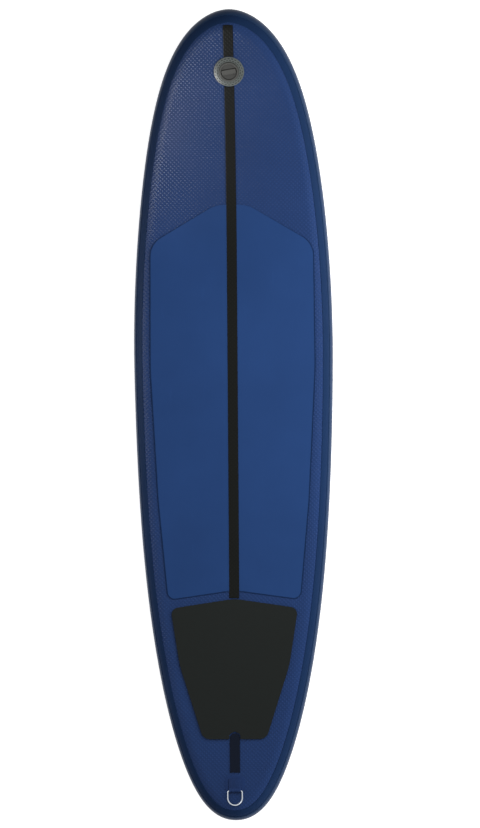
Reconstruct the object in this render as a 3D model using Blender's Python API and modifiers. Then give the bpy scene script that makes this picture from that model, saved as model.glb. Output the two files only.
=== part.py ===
"""Inflatable surfboard with a drop-stitch chamber, deck pad, screw-capped valve, leash ring and fins.

Lengths are in metres and angles in degrees. The board lies deck up, with X across it, Y towards its
nose and Z up. The origin is the middle of the flat belly.
"""

import math

import bmesh
import bpy
import numpy as np
from mathutils import Matrix, Vector

# Whole board
LENGTH = 2.438
NOSE = LENGTH / 2
TAIL = -LENGTH / 2
WIDTH = 0.600
THICKNESS = 0.100  # from belly to deck over the cover sheets
WIDE_POINT = 0.192  # ahead of mid-length
NOSE_POWER = 3.30
NOSE_TIP_POWER = 0.560
NOSE_FULLNESS = -0.485
TAIL_POWER = 1.616
TAIL_TIP_POWER = 0.4655
TAIL_FULLNESS = 0.388
OUTLINE_STEPS = 11  # on each side, from the wide point to a tip
ROW_CROWDING = 2.6  # how much closer together they lie near the tips
ROW_NEAREST = 0.001

# Rocker of the hull, which is flat between the two starts
NOSE_ROCKER = 0.130
NOSE_ROCKER_POWER = 2.3
NOSE_ROCKER_START = 0.400
TAIL_ROCKER = 0.035
TAIL_ROCKER_POWER = 2.0
TAIL_ROCKER_START = 0.400

# Layers of the hull
GAP = 0.0003  # between pieces that touch
SKIN = 0.0009
COVER_SHEET = 0.0009
RAIL_WALL = 0.0009
RAIL_BAND = 0.0009
SEAM_TAPE = 0.0009
RAIL_CORNERS = (0.0, 22.5, 45.0, 67.5, 90.0, 112.5, 135.0, 157.5, 180.0)  # turned from the deck's normal
SHEET_WRAP = 45.0
SKIN_WRAP = 67.5
BAND_EDGE = 30.0
SEAM_TAPE_EDGE = 58.0

# Yarn rows inside the chamber
YARN_ROW_PITCH = 0.070
YARN_ROW = 0.0006
YARN_ROWS_A_SIDE = 3
YARN_SCRIM = 0.0006
YARN_END_MARGIN = 0.030
YARN_VALVE_CLEARANCE = 0.006

# Black centre tape
TAPE_WIDTH = 0.030
TAPE = 0.0009
TAPE_NOSE_END = NOSE - 0.073
TAPE_TAIL_END = TAIL + 0.141

# Smooth deck panel, in two halves beside the centre tape
PANEL = 0.0012
PANEL_PEAK = NOSE - 0.583
PANEL_PEAK_HALF = 0.048
PANEL_SHOULDER = NOSE - 0.7015
PANEL_SHOULDER_HALF = WIDTH / 2 - 0.052
PANEL_MIDDLE = 0.140
PANEL_MIDDLE_HALF = WIDTH / 2 - 0.050
PANEL_LOW = TAIL + 0.963
PANEL_LOW_HALF = WIDTH / 2 - 0.071
PANEL_TAIL = TAIL + 0.670
PANEL_TAIL_HALF = WIDTH / 2 - 0.099
PANEL_TAIL_PEAK = TAIL + 0.689
PANEL_PEAK_RADIUS = 0.100
PANEL_SHOULDER_RADIUS = 0.070
PANEL_SIDE_RADIUS = 0.800
PANEL_TAIL_RADIUS = 0.020

# Tail pad of soft foam
PAD = 0.0040
PAD_BEVEL = 0.0015
PAD_CLEARANCE = 0.0015  # to the centre tape
PAD_PEAK = TAIL + 0.666
PAD_SHOULDER = TAIL + 0.637
PAD_SHOULDER_HALF = WIDTH / 2 - 0.108
PAD_WAIST = TAIL + 0.464
PAD_WAIST_HALF = WIDTH / 2 - 0.135
PAD_TAIL = TAIL + 0.242
PAD_TAIL_HALF = WIDTH / 2 - 0.205
PAD_PEAK_RADIUS = 0.250
PAD_SHOULDER_RADIUS = 0.022
PAD_TAIL_RADIUS = 0.028
PAD_WAIST_RADIUS = 0.300
PAD_NOTCH_TOP = TAIL + 0.261

# Inflation valve, turned about the axis that stands square to the deck
VALVE_STATION = NOSE - 0.175
VALVE_SEAT_HALF = 0.050
FLANGE_RADIUS = 0.0455
FLANGE_RIM = 0.0016
FLANGE_HEIGHT = 0.0052
GASKET = 0.0010
GASKET_MARGIN = 0.0020
BARREL_RADIUS = 0.0255
BARREL_DEPTH = 0.0270
BORE_RADIUS = 0.0215
VALVE_LIP_RADIUS = 0.0165
VALVE_LIP = 0.0030
CAP_LEDGE = 0.0008
SLOT_ROWS = (0.0405, 0.0345)
SLOT_COUNT = 24
SLOT_LENGTH = 0.0044
SLOT_WIDTH = 0.0018
SLOT_DEPTH = 0.0010
SPIDER_HUB_RADIUS = 0.0055
SPIDER_HUB = 0.0050
SPIDER_TOP = -0.0160
SPIDER_ARM = 0.0024
SPIDER_ARM_HEIGHT = 0.0040
SPIDER_ARMS = 4
VALVE_NUT = 0.0065
VALVE_NUT_RADIUS = 0.0390
VALVE_NUT_NOTCHES = 8
VALVE_NUT_NOTCH = 0.0080
VALVE_NUT_NOTCH_DEPTH = 0.0040

# Sprung stem of the valve
STEM_RADIUS = 0.0025
RUNNING = 0.0004  # round the moving stem, cap plug and fin
STEM_BUTTON_RADIUS = 0.0070
STEM_BUTTON = 0.0025
STEM_TOP = -0.0010
STEM_PLATE_RADIUS = 0.0120
STEM_PLATE = 0.0015
STEM_TRAVEL = 0.0060
VALVE_SEAL_RADIUS = 0.0195
VALVE_SEAL = 0.0020
SPRING_WIRE_RADIUS = 0.0006
SPRING_RADIUS = 0.0046
SPRING_TURNS = 4
SPRING_POINTS_A_TURN = 9

# Screw cap of the valve
CAP_RADIUS = 0.0295
CAP_RIM = 0.0045
CAP_EDGE = 0.0010
CAP_PLATE = 0.0020
CAP_SKIRT = 0.0028
CAP_SKIRT_DEPTH = 0.0060
CAP_RECESS_RADIUS = 0.0240
CAP_RECESS_DEPTH = 0.0040
CAP_GRIP_WIDTH = 0.0170
CAP_GRIP_TURN = 10.0
CAP_SEAL = 0.0012

# Leash ring of round wire, lying towards the tail
RING_STATION = TAIL + 0.086
RING_WIRE_RADIUS = 0.0020
RING_HALF_WIDTH = 0.0218
RING_LENGTH = 0.0430
RING_CORNER = 0.0050
RING_ARC_STEPS = 14
WEBBING = 0.0015
WEBBING_WIDTH = 0.0360
WEBBING_TONGUE = 0.0380
WEBBING_CREASE = 0.0072  # from the bar to where the two ends meet
WEBBING_FOLD_START = 70.0
LEASH_PATCH = 0.0009
LEASH_PATCH_WIDTH = 0.0600
LEASH_PATCH_FRONT = 0.0460
LEASH_PATCH_BACK = 0.0030
LEASH_PATCH_CORNER = 0.0120

# Fins under the tail
FIN_SEAT_FRONT = TAIL + 0.439
FIN_SEAT_BACK = TAIL + 0.059
FIN_BASE = 0.112
FIN_TIP_BACK = 0.030
FIN_HOLLOW = 0.010
FIN_LEAD_POWER = 1.7
FIN_LEAD_TIP_POWER = 0.62
FIN_TRAIL_POWER = 2.2
FIN_TIP_CUT = 0.992  # share of the depth at which the blade's tip ends
FIN_TIP_THINNESS = 0.25
FOIL_FULLNESS = 2.6
FOIL_TAIL_POWER = 1.15
FOIL_EDGE = 0.05  # half the edges' thickness, as a share of the blade's
FOIL_FLAT_SIDE = 0.25  # fullness of the side fins' inner face
FIN_LEVELS = 10
FIN_FOIL_STEPS = 7
SIDE_FIN_DEPTH = 0.115
SIDE_FIN_THICKNESS = 0.0075
SIDE_FIN_STATION = TAIL + 0.347
SIDE_FIN_FROM_CENTRE = 0.128
SIDE_FIN_CANT = 5.0
SIDE_FIN_TOE = 2.5
SIDE_FLANGE = 0.0022
SIDE_FLANGE_LENGTH = 0.138
SIDE_FLANGE_WIDTH = 0.038
SIDE_FLANGE_CORNER = 0.017
FIN_PATCH = 0.0009
SIDE_PATCH_MARGIN = 0.012
CENTRE_FIN_DEPTH = 0.100
CENTRE_FIN_THICKNESS = 0.0085

# Long box that the centre fin slides in
BOX_STATION = TAIL + 0.207
BOX_LENGTH = 0.222
BOX_WIDTH = 0.030
BOX_HEIGHT = 0.026
BOX_END_CORNER = 0.0120
BOX_EDGE = 0.0015
BOX_SLOT_LENGTH = 0.200
BOX_SLOT_WIDTH = 0.0096
BOX_SLOT_DEPTH = 0.0220
BOX_SLOT_CORNER = 0.0038
BOX_CHANNEL_WIDTH = 0.0145
BOX_CHANNEL_HEIGHT = 0.0052
BOX_CHANNEL_CORNER = 0.0029
BOX_LIP = 0.0055
BOX_NOTCH_LENGTH = 0.0160
BOX_FLANGE = 0.0025
BOX_FLANGE_LENGTH = 0.262
BOX_FLANGE_WIDTH = 0.086
BOX_FLANGE_CORNER = 0.030
BOX_PATCH_MARGIN = 0.014

# Foot of the centre fin, with its cross pin, plate and screw
FOOT_BACK = 0.056
FOOT_FRONT = 0.078
FOOT_WIDTH = 0.0170
FOOT_CORNER = 0.0076
FOOT_HEIGHT = 0.0030
TAB_LENGTH = 0.098
TAB_DEPTH = 0.0190
TAB_CORNER = 0.0026
PIN_RADIUS = 0.0022
PIN_FROM_BACK = 0.0120
PLATE_SIDE = 0.0135
PLATE_HEIGHT = 0.0028
SCREW_STATION = 0.068
SCREW_RADIUS = 0.0020
SCREW_HEAD_RADIUS = 0.0040
SCREW_HEAD = 0.0024
SCREW_DRIVE = 0.0012

# Roundness of turned pieces
TURN_STEPS = 28
SMALL_TURN_STEPS = 16
TURN_MERGE = 0.0001  # joins the corners that lie on the axis

# Colours, as linear red, green and blue, with roughness and metallic
SHEET_BLUE = ((0.036, 0.062, 0.140), 0.55, 0.0)
RAIL_BLUE = ((0.026, 0.044, 0.098), 0.50, 0.0)
PANEL_BLUE = ((0.030, 0.066, 0.185), 0.60, 0.0)
FOAM_BLACK = ((0.015, 0.016, 0.015), 0.90, 0.0)
TAPE_BLACK = ((0.017, 0.018, 0.017), 0.60, 0.0)
CLOTH_GREY = ((0.420, 0.430, 0.440), 0.90, 0.0)
YARN_WHITE = ((0.720, 0.720, 0.700), 0.95, 0.0)
VALVE_GREY = ((0.210, 0.220, 0.200), 0.45, 0.0)
CAP_GREY = ((0.065, 0.065, 0.062), 0.45, 0.0)
RUBBER_BLACK = ((0.020, 0.020, 0.020), 0.80, 0.0)
STEEL = ((0.420, 0.470, 0.520), 0.25, 1.0)
FIN_DARK = ((0.022, 0.024, 0.028), 0.35, 0.0)

# Heights that follow from the layers, counted from the middle of the chamber
SHEET_OUT = THICKNESS / 2
SKIN_OUT = SHEET_OUT - max(COVER_SHEET, RAIL_WALL) - GAP
BAND_OUT = SHEET_OUT + GAP + RAIL_BAND
SEAM_TAPE_OUT = BAND_OUT + GAP + SEAM_TAPE
CHAMBER_HALF = SKIN_OUT - SKIN
NOSE_PATH_END = NOSE - SEAM_TAPE_OUT
TAIL_PATH_END = TAIL + SEAM_TAPE_OUT
PATH_HALF_WIDTH = WIDTH / 2 - SEAM_TAPE_OUT

# Heights above the deck sheet in the valve's own frame
FLANGE_FOOT = 2 * GAP + GASKET
LEDGE_TOP = FLANGE_FOOT + CAP_LEDGE
CAP_RIM_FOOT = LEDGE_TOP + 2 * GAP + CAP_SEAL
CAP_TOP = CAP_RIM_FOOT + CAP_RIM
CAP_PLATE_FOOT = CAP_TOP - CAP_RECESS_DEPTH - CAP_PLATE
BOX_FOOT = 2 * GAP + FIN_PATCH
BOX_FACE = BOX_FOOT + BOX_HEIGHT


def clear_scene():
    """Removes what the new file holds."""
    for item in list(bpy.data.objects):
        bpy.data.objects.remove(item, do_unlink=True)


def new_collection(name, hidden=False):
    """A collection linked to the scene."""
    collection = bpy.data.collections.new(name)
    bpy.context.scene.collection.children.link(collection)
    collection.hide_render = hidden
    return collection


def material(name, look):
    """A Principled material, made once for each name."""
    found = bpy.data.materials.get(name)
    if found:
        return found
    colour, roughness, metallic = look
    made = bpy.data.materials.new(name)
    made.use_nodes = True
    surface = made.node_tree.nodes["Principled BSDF"]
    surface.inputs["Base Color"].default_value = (*colour, 1.0)
    surface.inputs["Roughness"].default_value = roughness
    surface.inputs["Metallic"].default_value = metallic
    made.diffuse_color = (*colour, 1.0)
    return made


clear_scene()
BOARD = new_collection("inflatable_surfboard")
CUTTERS = new_collection("cutters", hidden=True)


def add_object(name, mesh, look=None, parent=None, smooth=35.0):
    """An object of the board with its own material, or a cutter where it has none."""
    made = bpy.data.objects.new(name, mesh)
    made.parent = parent
    if look is None:
        made.hide_render = True
        made.display_type = "WIRE"
        CUTTERS.objects.link(made)
        return made
    mesh.shade_smooth()
    mesh.set_sharp_from_angle(angle=math.radians(smooth))
    mesh.materials.clear()
    mesh.materials.append(material(name, look))
    BOARD.objects.link(made)
    return made


def mesh_from(bm, name):
    """Closes a bmesh into a mesh whose faces point outwards."""
    bmesh.ops.recalc_face_normals(bm, faces=bm.faces)
    mesh = bpy.data.meshes.new(name)
    bm.to_mesh(mesh)
    bm.free()
    return mesh


def boolean(target, cutter, operation="DIFFERENCE", solver="EXACT"):
    """Adds a Boolean modifier."""
    cut = target.modifiers.new(f"{operation.lower()} {cutter.name}", "BOOLEAN")
    cut.operation = operation
    cut.solver = solver
    cut.object = cutter


def box(name, size, centre, look=None, parent=None, bevel=0.0):
    """A block, with its upright edges rounded where a bevel is given."""
    bm = bmesh.new()
    bmesh.ops.create_cube(bm, size=1.0)
    bmesh.ops.scale(bm, vec=size, verts=bm.verts)
    if bevel:
        upright = [e for e in bm.edges if abs(e.verts[0].co.z - e.verts[1].co.z) > size[2] / 2]
        bmesh.ops.bevel(bm, geom=upright, offset=bevel, segments=3, profile=0.5, affect="EDGES")
    bmesh.ops.translate(bm, vec=centre, verts=bm.verts)
    return add_object(name, mesh_from(bm, name), look, parent)


def cylinder(name, radius, bottom, top, look=None, parent=None, steps=TURN_STEPS, across=False):
    """A round rod along Z between two heights, or along X where it lies across."""
    bm = bmesh.new()
    bmesh.ops.create_cone(
        bm, cap_ends=True, segments=steps, radius1=radius, radius2=radius, depth=top - bottom
    )
    bmesh.ops.translate(bm, vec=(0, 0, (top + bottom) / 2), verts=bm.verts)
    if across:
        bmesh.ops.rotate(bm, matrix=Matrix.Rotation(math.radians(90), 3, "Y"), verts=bm.verts)
    return add_object(name, mesh_from(bm, name), look, parent)


def turned(name, profile, look=None, parent=None, steps=TURN_STEPS):
    """A closed profile of radius and height, turned about Z by a Screw modifier."""
    bm = bmesh.new()
    corners = [bm.verts.new((radius, 0, height)) for radius, height in profile]
    ring = corners if profile[0][0] == 0 else [*corners, corners[0]]
    for first, second in zip(ring, ring[1:]):
        bm.edges.new((first, second))
    mesh = bpy.data.meshes.new(name)
    bm.to_mesh(mesh)
    bm.free()
    made = add_object(name, mesh, look, parent)
    screw = made.modifiers.new("turn", "SCREW")
    screw.steps = steps
    screw.render_steps = steps
    screw.use_merge_vertices = True
    screw.merge_threshold = TURN_MERGE
    screw.use_smooth_shade = True
    return made


def rounded(corners, steps=5):
    """A closed outline from corners of x, y and fillet radius."""
    points = []
    count = len(corners)
    for i, (x, y, radius) in enumerate(corners):
        here = Vector((x, y))
        if radius <= 0:
            points.append((x, y))
            continue
        to_last = (Vector(corners[i - 1][:2]) - here).normalized()
        to_next = (Vector(corners[(i + 1) % count][:2]) - here).normalized()
        half = to_last.angle(to_next) / 2
        reach = radius / math.tan(half)
        centre = here + (to_last + to_next).normalized() * (radius / math.sin(half))
        start = here + to_last * reach - centre
        end = here + to_next * reach - centre
        sweep = start.angle_signed(end)
        for j in range(steps + 1):
            turn = Matrix.Rotation(-sweep * j / steps, 2)
            points.append(tuple(centre + turn @ start))
    return points


def oblong(length, width, corner, steps=5, centre=(0.0, 0.0)):
    """A rounded rectangle, with its length along Y."""
    x, y = width / 2, length / 2
    corners = [(x, y, corner), (-x, y, corner), (-x, -y, corner), (x, -y, corner)]
    return [(px + centre[0], py + centre[1]) for px, py in rounded(corners, steps)]


def prism_bmesh(outline, bottom, top, bevel=0.0):
    """An outline raised between two heights, with its top edge bevelled."""
    bm = bmesh.new()
    floor = bm.faces.new([bm.verts.new((x, y, bottom)) for x, y in outline])
    raised = bmesh.ops.extrude_face_region(bm, geom=[floor])["geom"]
    lifted = [item for item in raised if isinstance(item, bmesh.types.BMVert)]
    bmesh.ops.translate(bm, vec=(0, 0, top - bottom), verts=lifted)
    bmesh.ops.recalc_face_normals(bm, faces=bm.faces)
    if bevel:
        rim = [e for e in bm.edges if all(v in lifted for v in e.verts)]
        bmesh.ops.bevel(bm, geom=rim, offset=bevel, segments=2, profile=0.5, affect="EDGES")
    return bm


def prism(name, outline, bottom, top, look=None, parent=None, bevel=0.0):
    """A flat piece with any outline."""
    return add_object(name, mesh_from(prism_bmesh(outline, bottom, top, bevel), name), look, parent)


def end_shape(t, power, tip_power, fullness):
    """Share of the half width at a share t of the way from the wide point to a tip."""
    return max(0.0, 1 - t**power) ** tip_power * (1 + fullness * t * t * (1 - t))


def path_half_width(y):
    """Half the distance between the two rails' centre lines."""
    if y >= WIDE_POINT:
        t = (y - WIDE_POINT) / (NOSE_PATH_END - WIDE_POINT)
        share = end_shape(min(1.0, t), NOSE_POWER, NOSE_TIP_POWER, NOSE_FULLNESS)
    else:
        t = (WIDE_POINT - y) / (WIDE_POINT - TAIL_PATH_END)
        share = end_shape(min(1.0, t), TAIL_POWER, TAIL_TIP_POWER, TAIL_FULLNESS)
    return PATH_HALF_WIDTH * share


def rocker(y):
    """Rise of the hull and its slope."""
    if y > NOSE_ROCKER_START:
        reach, start, rise, power = LENGTH / 2, NOSE_ROCKER_START, NOSE_ROCKER, NOSE_ROCKER_POWER
    elif y < -TAIL_ROCKER_START:
        reach, start, rise, power = LENGTH / 2, TAIL_ROCKER_START, TAIL_ROCKER, TAIL_ROCKER_POWER
    else:
        return 0.0, 0.0
    t = (abs(y) - start) / (reach - start)
    slope = rise * power / (reach - start) * t ** (power - 1)
    return rise * t**power, math.copysign(slope, y)


def seats():
    """Stretches along the board that a stiff fitting holds straight."""
    valve = (VALVE_STATION - VALVE_SEAT_HALF, VALVE_STATION + VALVE_SEAT_HALF)
    return (valve, (FIN_SEAT_BACK, FIN_SEAT_FRONT))


def stations():
    """Places along the board where its sheets have a row of corners, from nose to tail."""
    fixed = [NOSE_PATH_END, TAIL_PATH_END, NOSE_ROCKER_START, -TAIL_ROCKER_START]
    fixed += [end for seat in seats() for end in seat]
    free = []
    for i in range(1, OUTLINE_STEPS):
        share = 1 - (i / OUTLINE_STEPS) ** ROW_CROWDING
        free.append(WIDE_POINT + share * (NOSE_PATH_END - WIDE_POINT))
        free.append(WIDE_POINT + share * (TAIL_PATH_END - WIDE_POINT))
    near = ROW_NEAREST
    kept = [y for y in free if all(abs(y - other) > near for other in fixed)]
    return sorted({*fixed, *kept, WIDE_POINT}, reverse=True)


ROWS = stations()
KNOTS = [y for y in ROWS if not any(low < y < high for low, high in seats())][::-1]
KNOT_RISE = [THICKNESS / 2 + rocker(y)[0] for y in KNOTS]
KNOT_TILT = [math.atan(rocker(y)[1]) for y in KNOTS]
KNOT_LEAN = [-math.sin(tilt) for tilt in KNOT_TILT]
KNOT_STAND = [math.cos(tilt) for tilt in KNOT_TILT]


def normal_at(y):
    """The deck's normal, blended between the rows where the hull bends."""
    return Vector((0, np.interp(y, KNOTS, KNOT_LEAN), np.interp(y, KNOTS, KNOT_STAND)))


def on_board(x, y, height):
    """A point at a height from the middle of the chamber, square to the hull."""
    middle = Vector((x, y, np.interp(y, KNOTS, KNOT_RISE)))
    return middle + normal_at(y) * height


def seat_matrix(y, height, side=1, x=0.0):
    """A frame on the deck or, with side -1, under the hull, with Z out of the board and Y forwards."""
    step = on_board(x, y + GAP, side * height) - on_board(x, y - GAP, side * height)
    tilt = Matrix.Rotation(math.atan2(step.z, step.y), 4, "X")
    turn = Matrix.Rotation(0 if side > 0 else math.pi, 4, "Y")
    return Matrix.Translation(on_board(x, y, side * height)) @ tilt @ turn


def seat_empty(name, y, height, side=1, x=0.0):
    """An empty that carries the pieces of a fitting."""
    made = bpy.data.objects.new(name, None)
    made.empty_display_size = LENGTH / 50
    made.matrix_world = seat_matrix(y, height, side, x)
    BOARD.objects.link(made)
    return made


def path_slope(y):
    """How fast the path's half width grows towards the nose."""
    step = min(ROW_NEAREST, (NOSE_PATH_END - y) / 4, (y - TAIL_PATH_END) / 4)
    return (path_half_width(y + step) - path_half_width(y - step)) / (2 * step)


def path_points():
    """Centre line of the rails from the nose down the right side and back, with the way out at each row."""
    last = len(ROWS) - 1
    points = []
    for i in [*range(last), *range(last, 0, -1)]:
        y = ROWS[i]
        side = 1 if len(points) < last else -1
        upright = normal_at(y)
        forward = Vector((0, upright.z, -upright.y))
        if i in (0, last):
            across, ahead = 0.0, 1.0 if i == 0 else -1.0
        else:
            across, ahead = 1 / upright.z, -path_slope(y)
        outward = (Vector((side * across, 0, 0)) + forward * ahead).normalized()
        points.append((on_board(side * path_half_width(y), y, 0), upright, outward))
    return points


PATH = path_points()


def rail_point(index, radius, angle):
    """A point of the rail, on the chord between the rail's shared corners."""
    middle, upright, outward = PATH[index % len(PATH)]
    cosines = [math.cos(math.radians(a)) for a in RAIL_CORNERS]
    sines = [math.sin(math.radians(a)) for a in RAIL_CORNERS]
    rise = np.interp(angle, RAIL_CORNERS, cosines)
    reach = np.interp(angle, RAIL_CORNERS, sines)
    return middle + (upright * rise + outward * reach) * radius


def rail_angles(first, last):
    """Angles from one edge of a rail layer to the other, with the shared corners between."""
    between = [a for a in RAIL_CORNERS if first + 1 < a < last - 1]
    return [first, *between, last]


def solidify(target, thickness):
    """Gives an open surface its thickness, inwards from its outer face."""
    shell = target.modifiers.new("thickness", "SOLIDIFY")
    shell.thickness = thickness
    shell.offset = -1.0
    shell.use_even_offset = False


def strip_faces(bm, rows):
    """Quads between neighbouring rows of corners, all the way round."""
    for i, first in enumerate(rows):
        second = rows[(i + 1) % len(rows)]
        for j in range(len(first) - 1):
            bm.faces.new((first[j], first[j + 1], second[j + 1], second[j]))


def aim_outwards(bm):
    """Turns each face of an open hull surface away from the middle of the chamber."""
    for face in bm.faces:
        centre = face.calc_center_median()
        middle = on_board(0, float(np.clip(centre.y, TAIL_PATH_END, NOSE_PATH_END)), 0)
        half = path_half_width(float(np.clip(centre.y, TAIL_PATH_END, NOSE_PATH_END)))
        middle.x = float(np.clip(centre.x, -half, half))
        if face.normal.dot(centre - middle) < 0:
            face.normal_flip()


def hull_layer(name, radius, angles, thickness, look, filled=False):
    """A layer of the hull: a ring along the rails, or the whole sheet where its middle is filled."""
    bm = bmesh.new()
    rows = [[bm.verts.new(rail_point(i, radius, a)) for a in angles] for i in range(len(PATH))]
    strip_faces(bm, rows)
    if filled:
        for i in range(len(PATH) // 2):
            ring = [rows[i][0], rows[i + 1][0], rows[-i - 1][0], rows[-i][0]]
            bm.faces.new(list(dict.fromkeys(ring)))
    bm.normal_update()
    aim_outwards(bm)
    mesh = bpy.data.meshes.new(name)
    bm.to_mesh(mesh)
    bm.free()
    made = add_object(name, mesh, look, smooth=25.0)
    solidify(made, thickness)
    return made


def hull_face(name, radius, wrap, thickness, look, side):
    """The deck's sheet, or the belly's with side -1, wrapped some way round the rails."""
    angles = rail_angles(0.0, wrap)
    if side < 0:
        angles = [180.0 - a for a in angles]
    return hull_layer(name, radius, angles, thickness, look, filled=True)


def rail_layer(name, radius, edge, thickness, look, side=0):
    """A strip round the outside of the rails: the whole ring, or the half on one side."""
    made = hull_layer(name, radius, rail_angles(edge, 180 - edge), thickness, look)
    if side:
        boolean(made, other_half(side))
    return made


def other_half(side):
    """A block over the half of the board that a piece on this side leaves out."""
    name = f"cut_half_{'left' if side > 0 else 'right'}"
    size = (WIDTH, 2 * LENGTH, LENGTH)
    return CUTTERS.objects.get(name) or box(name, size, (side * (GAP - WIDTH) / 2, 0, 0))


def wrap_bmesh(bm, base, side=1):
    """Cuts a flat piece where the hull bends and lays it on the deck, or under the belly with side -1."""
    low = min(v.co.y for v in bm.verts)
    high = max(v.co.y for v in bm.verts)
    for y in KNOTS:
        if low < y < high:
            everything = [*bm.verts, *bm.edges, *bm.faces]
            bmesh.ops.bisect_plane(bm, geom=everything, dist=1e-6, plane_co=(0, y, 0), plane_no=(0, 1, 0))
    for corner in bm.verts:
        corner.co = on_board(corner.co.x, corner.co.y, side * (base + corner.co.z))


def laid_piece(name, outline, base, thickness, look, bevel=0.0, side=1):
    """A sheet, tape or pad that follows the hull."""
    bm = prism_bmesh(outline, 0.0, thickness, bevel)
    wrap_bmesh(bm, base, side)
    return add_object(name, mesh_from(bm, name), look)


def valve_hole(name, depth, radius):
    """A cutter along the valve's axis, from above the deck down to a depth."""
    cutter = cylinder(name, radius, -depth, FLANGE_RADIUS)
    cutter.matrix_world = seat_matrix(VALVE_STATION, SHEET_OUT)
    return cutter


def make_chamber():
    """The two drop-stitch skins and the rail walls that close the air chamber between them."""
    hole = valve_hole("cut_valve_hole", BARREL_DEPTH, BARREL_RADIUS + GAP)
    deck = hull_face("deck_skin", SKIN_OUT, SKIN_WRAP, SKIN, CLOTH_GREY, 1)
    boolean(deck, hole)
    hull_face("bottom_skin", SKIN_OUT, SKIN_WRAP, SKIN, CLOTH_GREY, -1)
    lean = math.sin(math.radians(RAIL_CORNERS[1] - RAIL_CORNERS[0]) / 2)
    edge = SHEET_WRAP + math.degrees((GAP + (COVER_SHEET + RAIL_WALL) * lean) / SHEET_OUT)
    for name, side in (("right", 1), ("left", -1)):
        rail_layer(f"rail_wall_{name}", SHEET_OUT, edge, RAIL_WALL, CLOTH_GREY, side)
    return hole


def make_cover(hole):
    """The cover sheets on deck and belly, the bands over the rails and the tape round their middle."""
    deck = hull_face("deck_sheet", SHEET_OUT, SHEET_WRAP, COVER_SHEET, SHEET_BLUE, 1)
    boolean(deck, hole)
    hull_face("bottom_sheet", SHEET_OUT, SHEET_WRAP, COVER_SHEET, SHEET_BLUE, -1)
    for name, side in (("right", 1), ("left", -1)):
        rail_layer(f"rail_band_{name}", BAND_OUT, BAND_EDGE, RAIL_BAND, RAIL_BLUE, side)
    rail_layer("rail_seam_tape", SEAM_TAPE_OUT, SEAM_TAPE_EDGE, SEAM_TAPE, RAIL_BLUE)


def yarn_reach(x, ahead):
    """Where a lengthwise row of yarn would come too near the rails, towards the nose or the tail."""
    end = NOSE_PATH_END if ahead else TAIL_PATH_END
    near = WIDE_POINT
    for _ in range(40):
        middle = (near + end) / 2
        if path_half_width(middle) > abs(x) + YARN_END_MARGIN / 2:
            near = middle
        else:
            end = middle
    return near


def yarn_bmesh(outline, low, high):
    """A piece of the yarn field between two heights in the chamber."""
    bm = prism_bmesh(outline, low, high)
    wrap_bmesh(bm, 0.0)
    return bm


def make_yarns():
    """Lengthwise rows of pile yarn standing on their woven scrim, open round the valve."""
    clear = CHAMBER_HALF - GAP
    rows = [y for y in ROWS if TAIL_PATH_END + YARN_END_MARGIN < y < NOSE_PATH_END - YARN_END_MARGIN]
    right = [(path_half_width(y) - YARN_END_MARGIN / 2, y) for y in rows]
    scrim = [*right, *[(-x, y) for x, y in right[::-1]]]
    mesh = mesh_from(yarn_bmesh(scrim, -clear, -clear + YARN_SCRIM), "drop_stitch_yarns")
    yarns = add_object("drop_stitch_yarns", mesh, YARN_WHITE)
    for i in range(-YARN_ROWS_A_SIDE, YARN_ROWS_A_SIDE + 1):
        x = i * YARN_ROW_PITCH
        front = yarn_reach(x, True) - 2 * YARN_END_MARGIN
        back = yarn_reach(x, False) + 2 * YARN_END_MARGIN
        left, right_side = x - YARN_ROW / 2, x + YARN_ROW / 2
        outline = [(left, back), (right_side, back), (right_side, front), (left, front)]
        name = f"join_yarn_row_{i + YARN_ROWS_A_SIDE}"
        row = add_object(name, mesh_from(yarn_bmesh(outline, -clear + YARN_SCRIM / 2, clear), name))
        boolean(yarns, row, "UNION", "MANIFOLD")
    nut_room = BARREL_DEPTH + STEM_TRAVEL + VALVE_SEAL + STEM_PLATE + YARN_VALVE_CLEARANCE
    boolean(yarns, valve_hole("cut_yarns_round_valve", nut_room, VALVE_NUT_RADIUS + YARN_VALVE_CLEARANCE),
            solver="MANIFOLD")


def tape_end(y, bulge):
    """The end of a tape that meets the valve's round flange, from its right corner to its left."""
    half = TAPE_WIDTH / 2
    radius = FLANGE_RADIUS + GAP
    points = []
    for i in range(7):
        x = half * (1 - i / 3)
        points.append((x, y + bulge * (radius - math.sqrt(radius**2 - x**2))))
    return points


def make_tapes():
    """The black centre tape: nose to valve, valve to tail pad, and a short length in the pad's notch."""
    half = TAPE_WIDTH / 2
    base = SHEET_OUT + GAP
    reach = FLANGE_RADIUS + 2 * GAP
    nose = [(-half, TAPE_NOSE_END), (half, TAPE_NOSE_END), *tape_end(VALVE_STATION + reach, -1)]
    laid_piece("stringer_tape_nose", nose, base, TAPE, TAPE_BLACK)
    pad_end = PAD_PEAK + PAD_CLEARANCE
    centre = [*tape_end(VALVE_STATION - reach, 1), (-half, pad_end), (half, pad_end)]
    laid_piece("stringer_tape_centre", centre, base, TAPE, TAPE_BLACK)
    front = half - PAD_CLEARANCE
    notch = PAD_NOTCH_TOP - PAD_CLEARANCE
    corners = [
        (half, notch, front),
        (-half, notch, front),
        (-half, TAPE_TAIL_END, PAD_CLEARANCE),
        (half, TAPE_TAIL_END, PAD_CLEARANCE),
    ]
    laid_piece("stringer_tape_tail", rounded(corners), base, TAPE, TAPE_BLACK)


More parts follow.
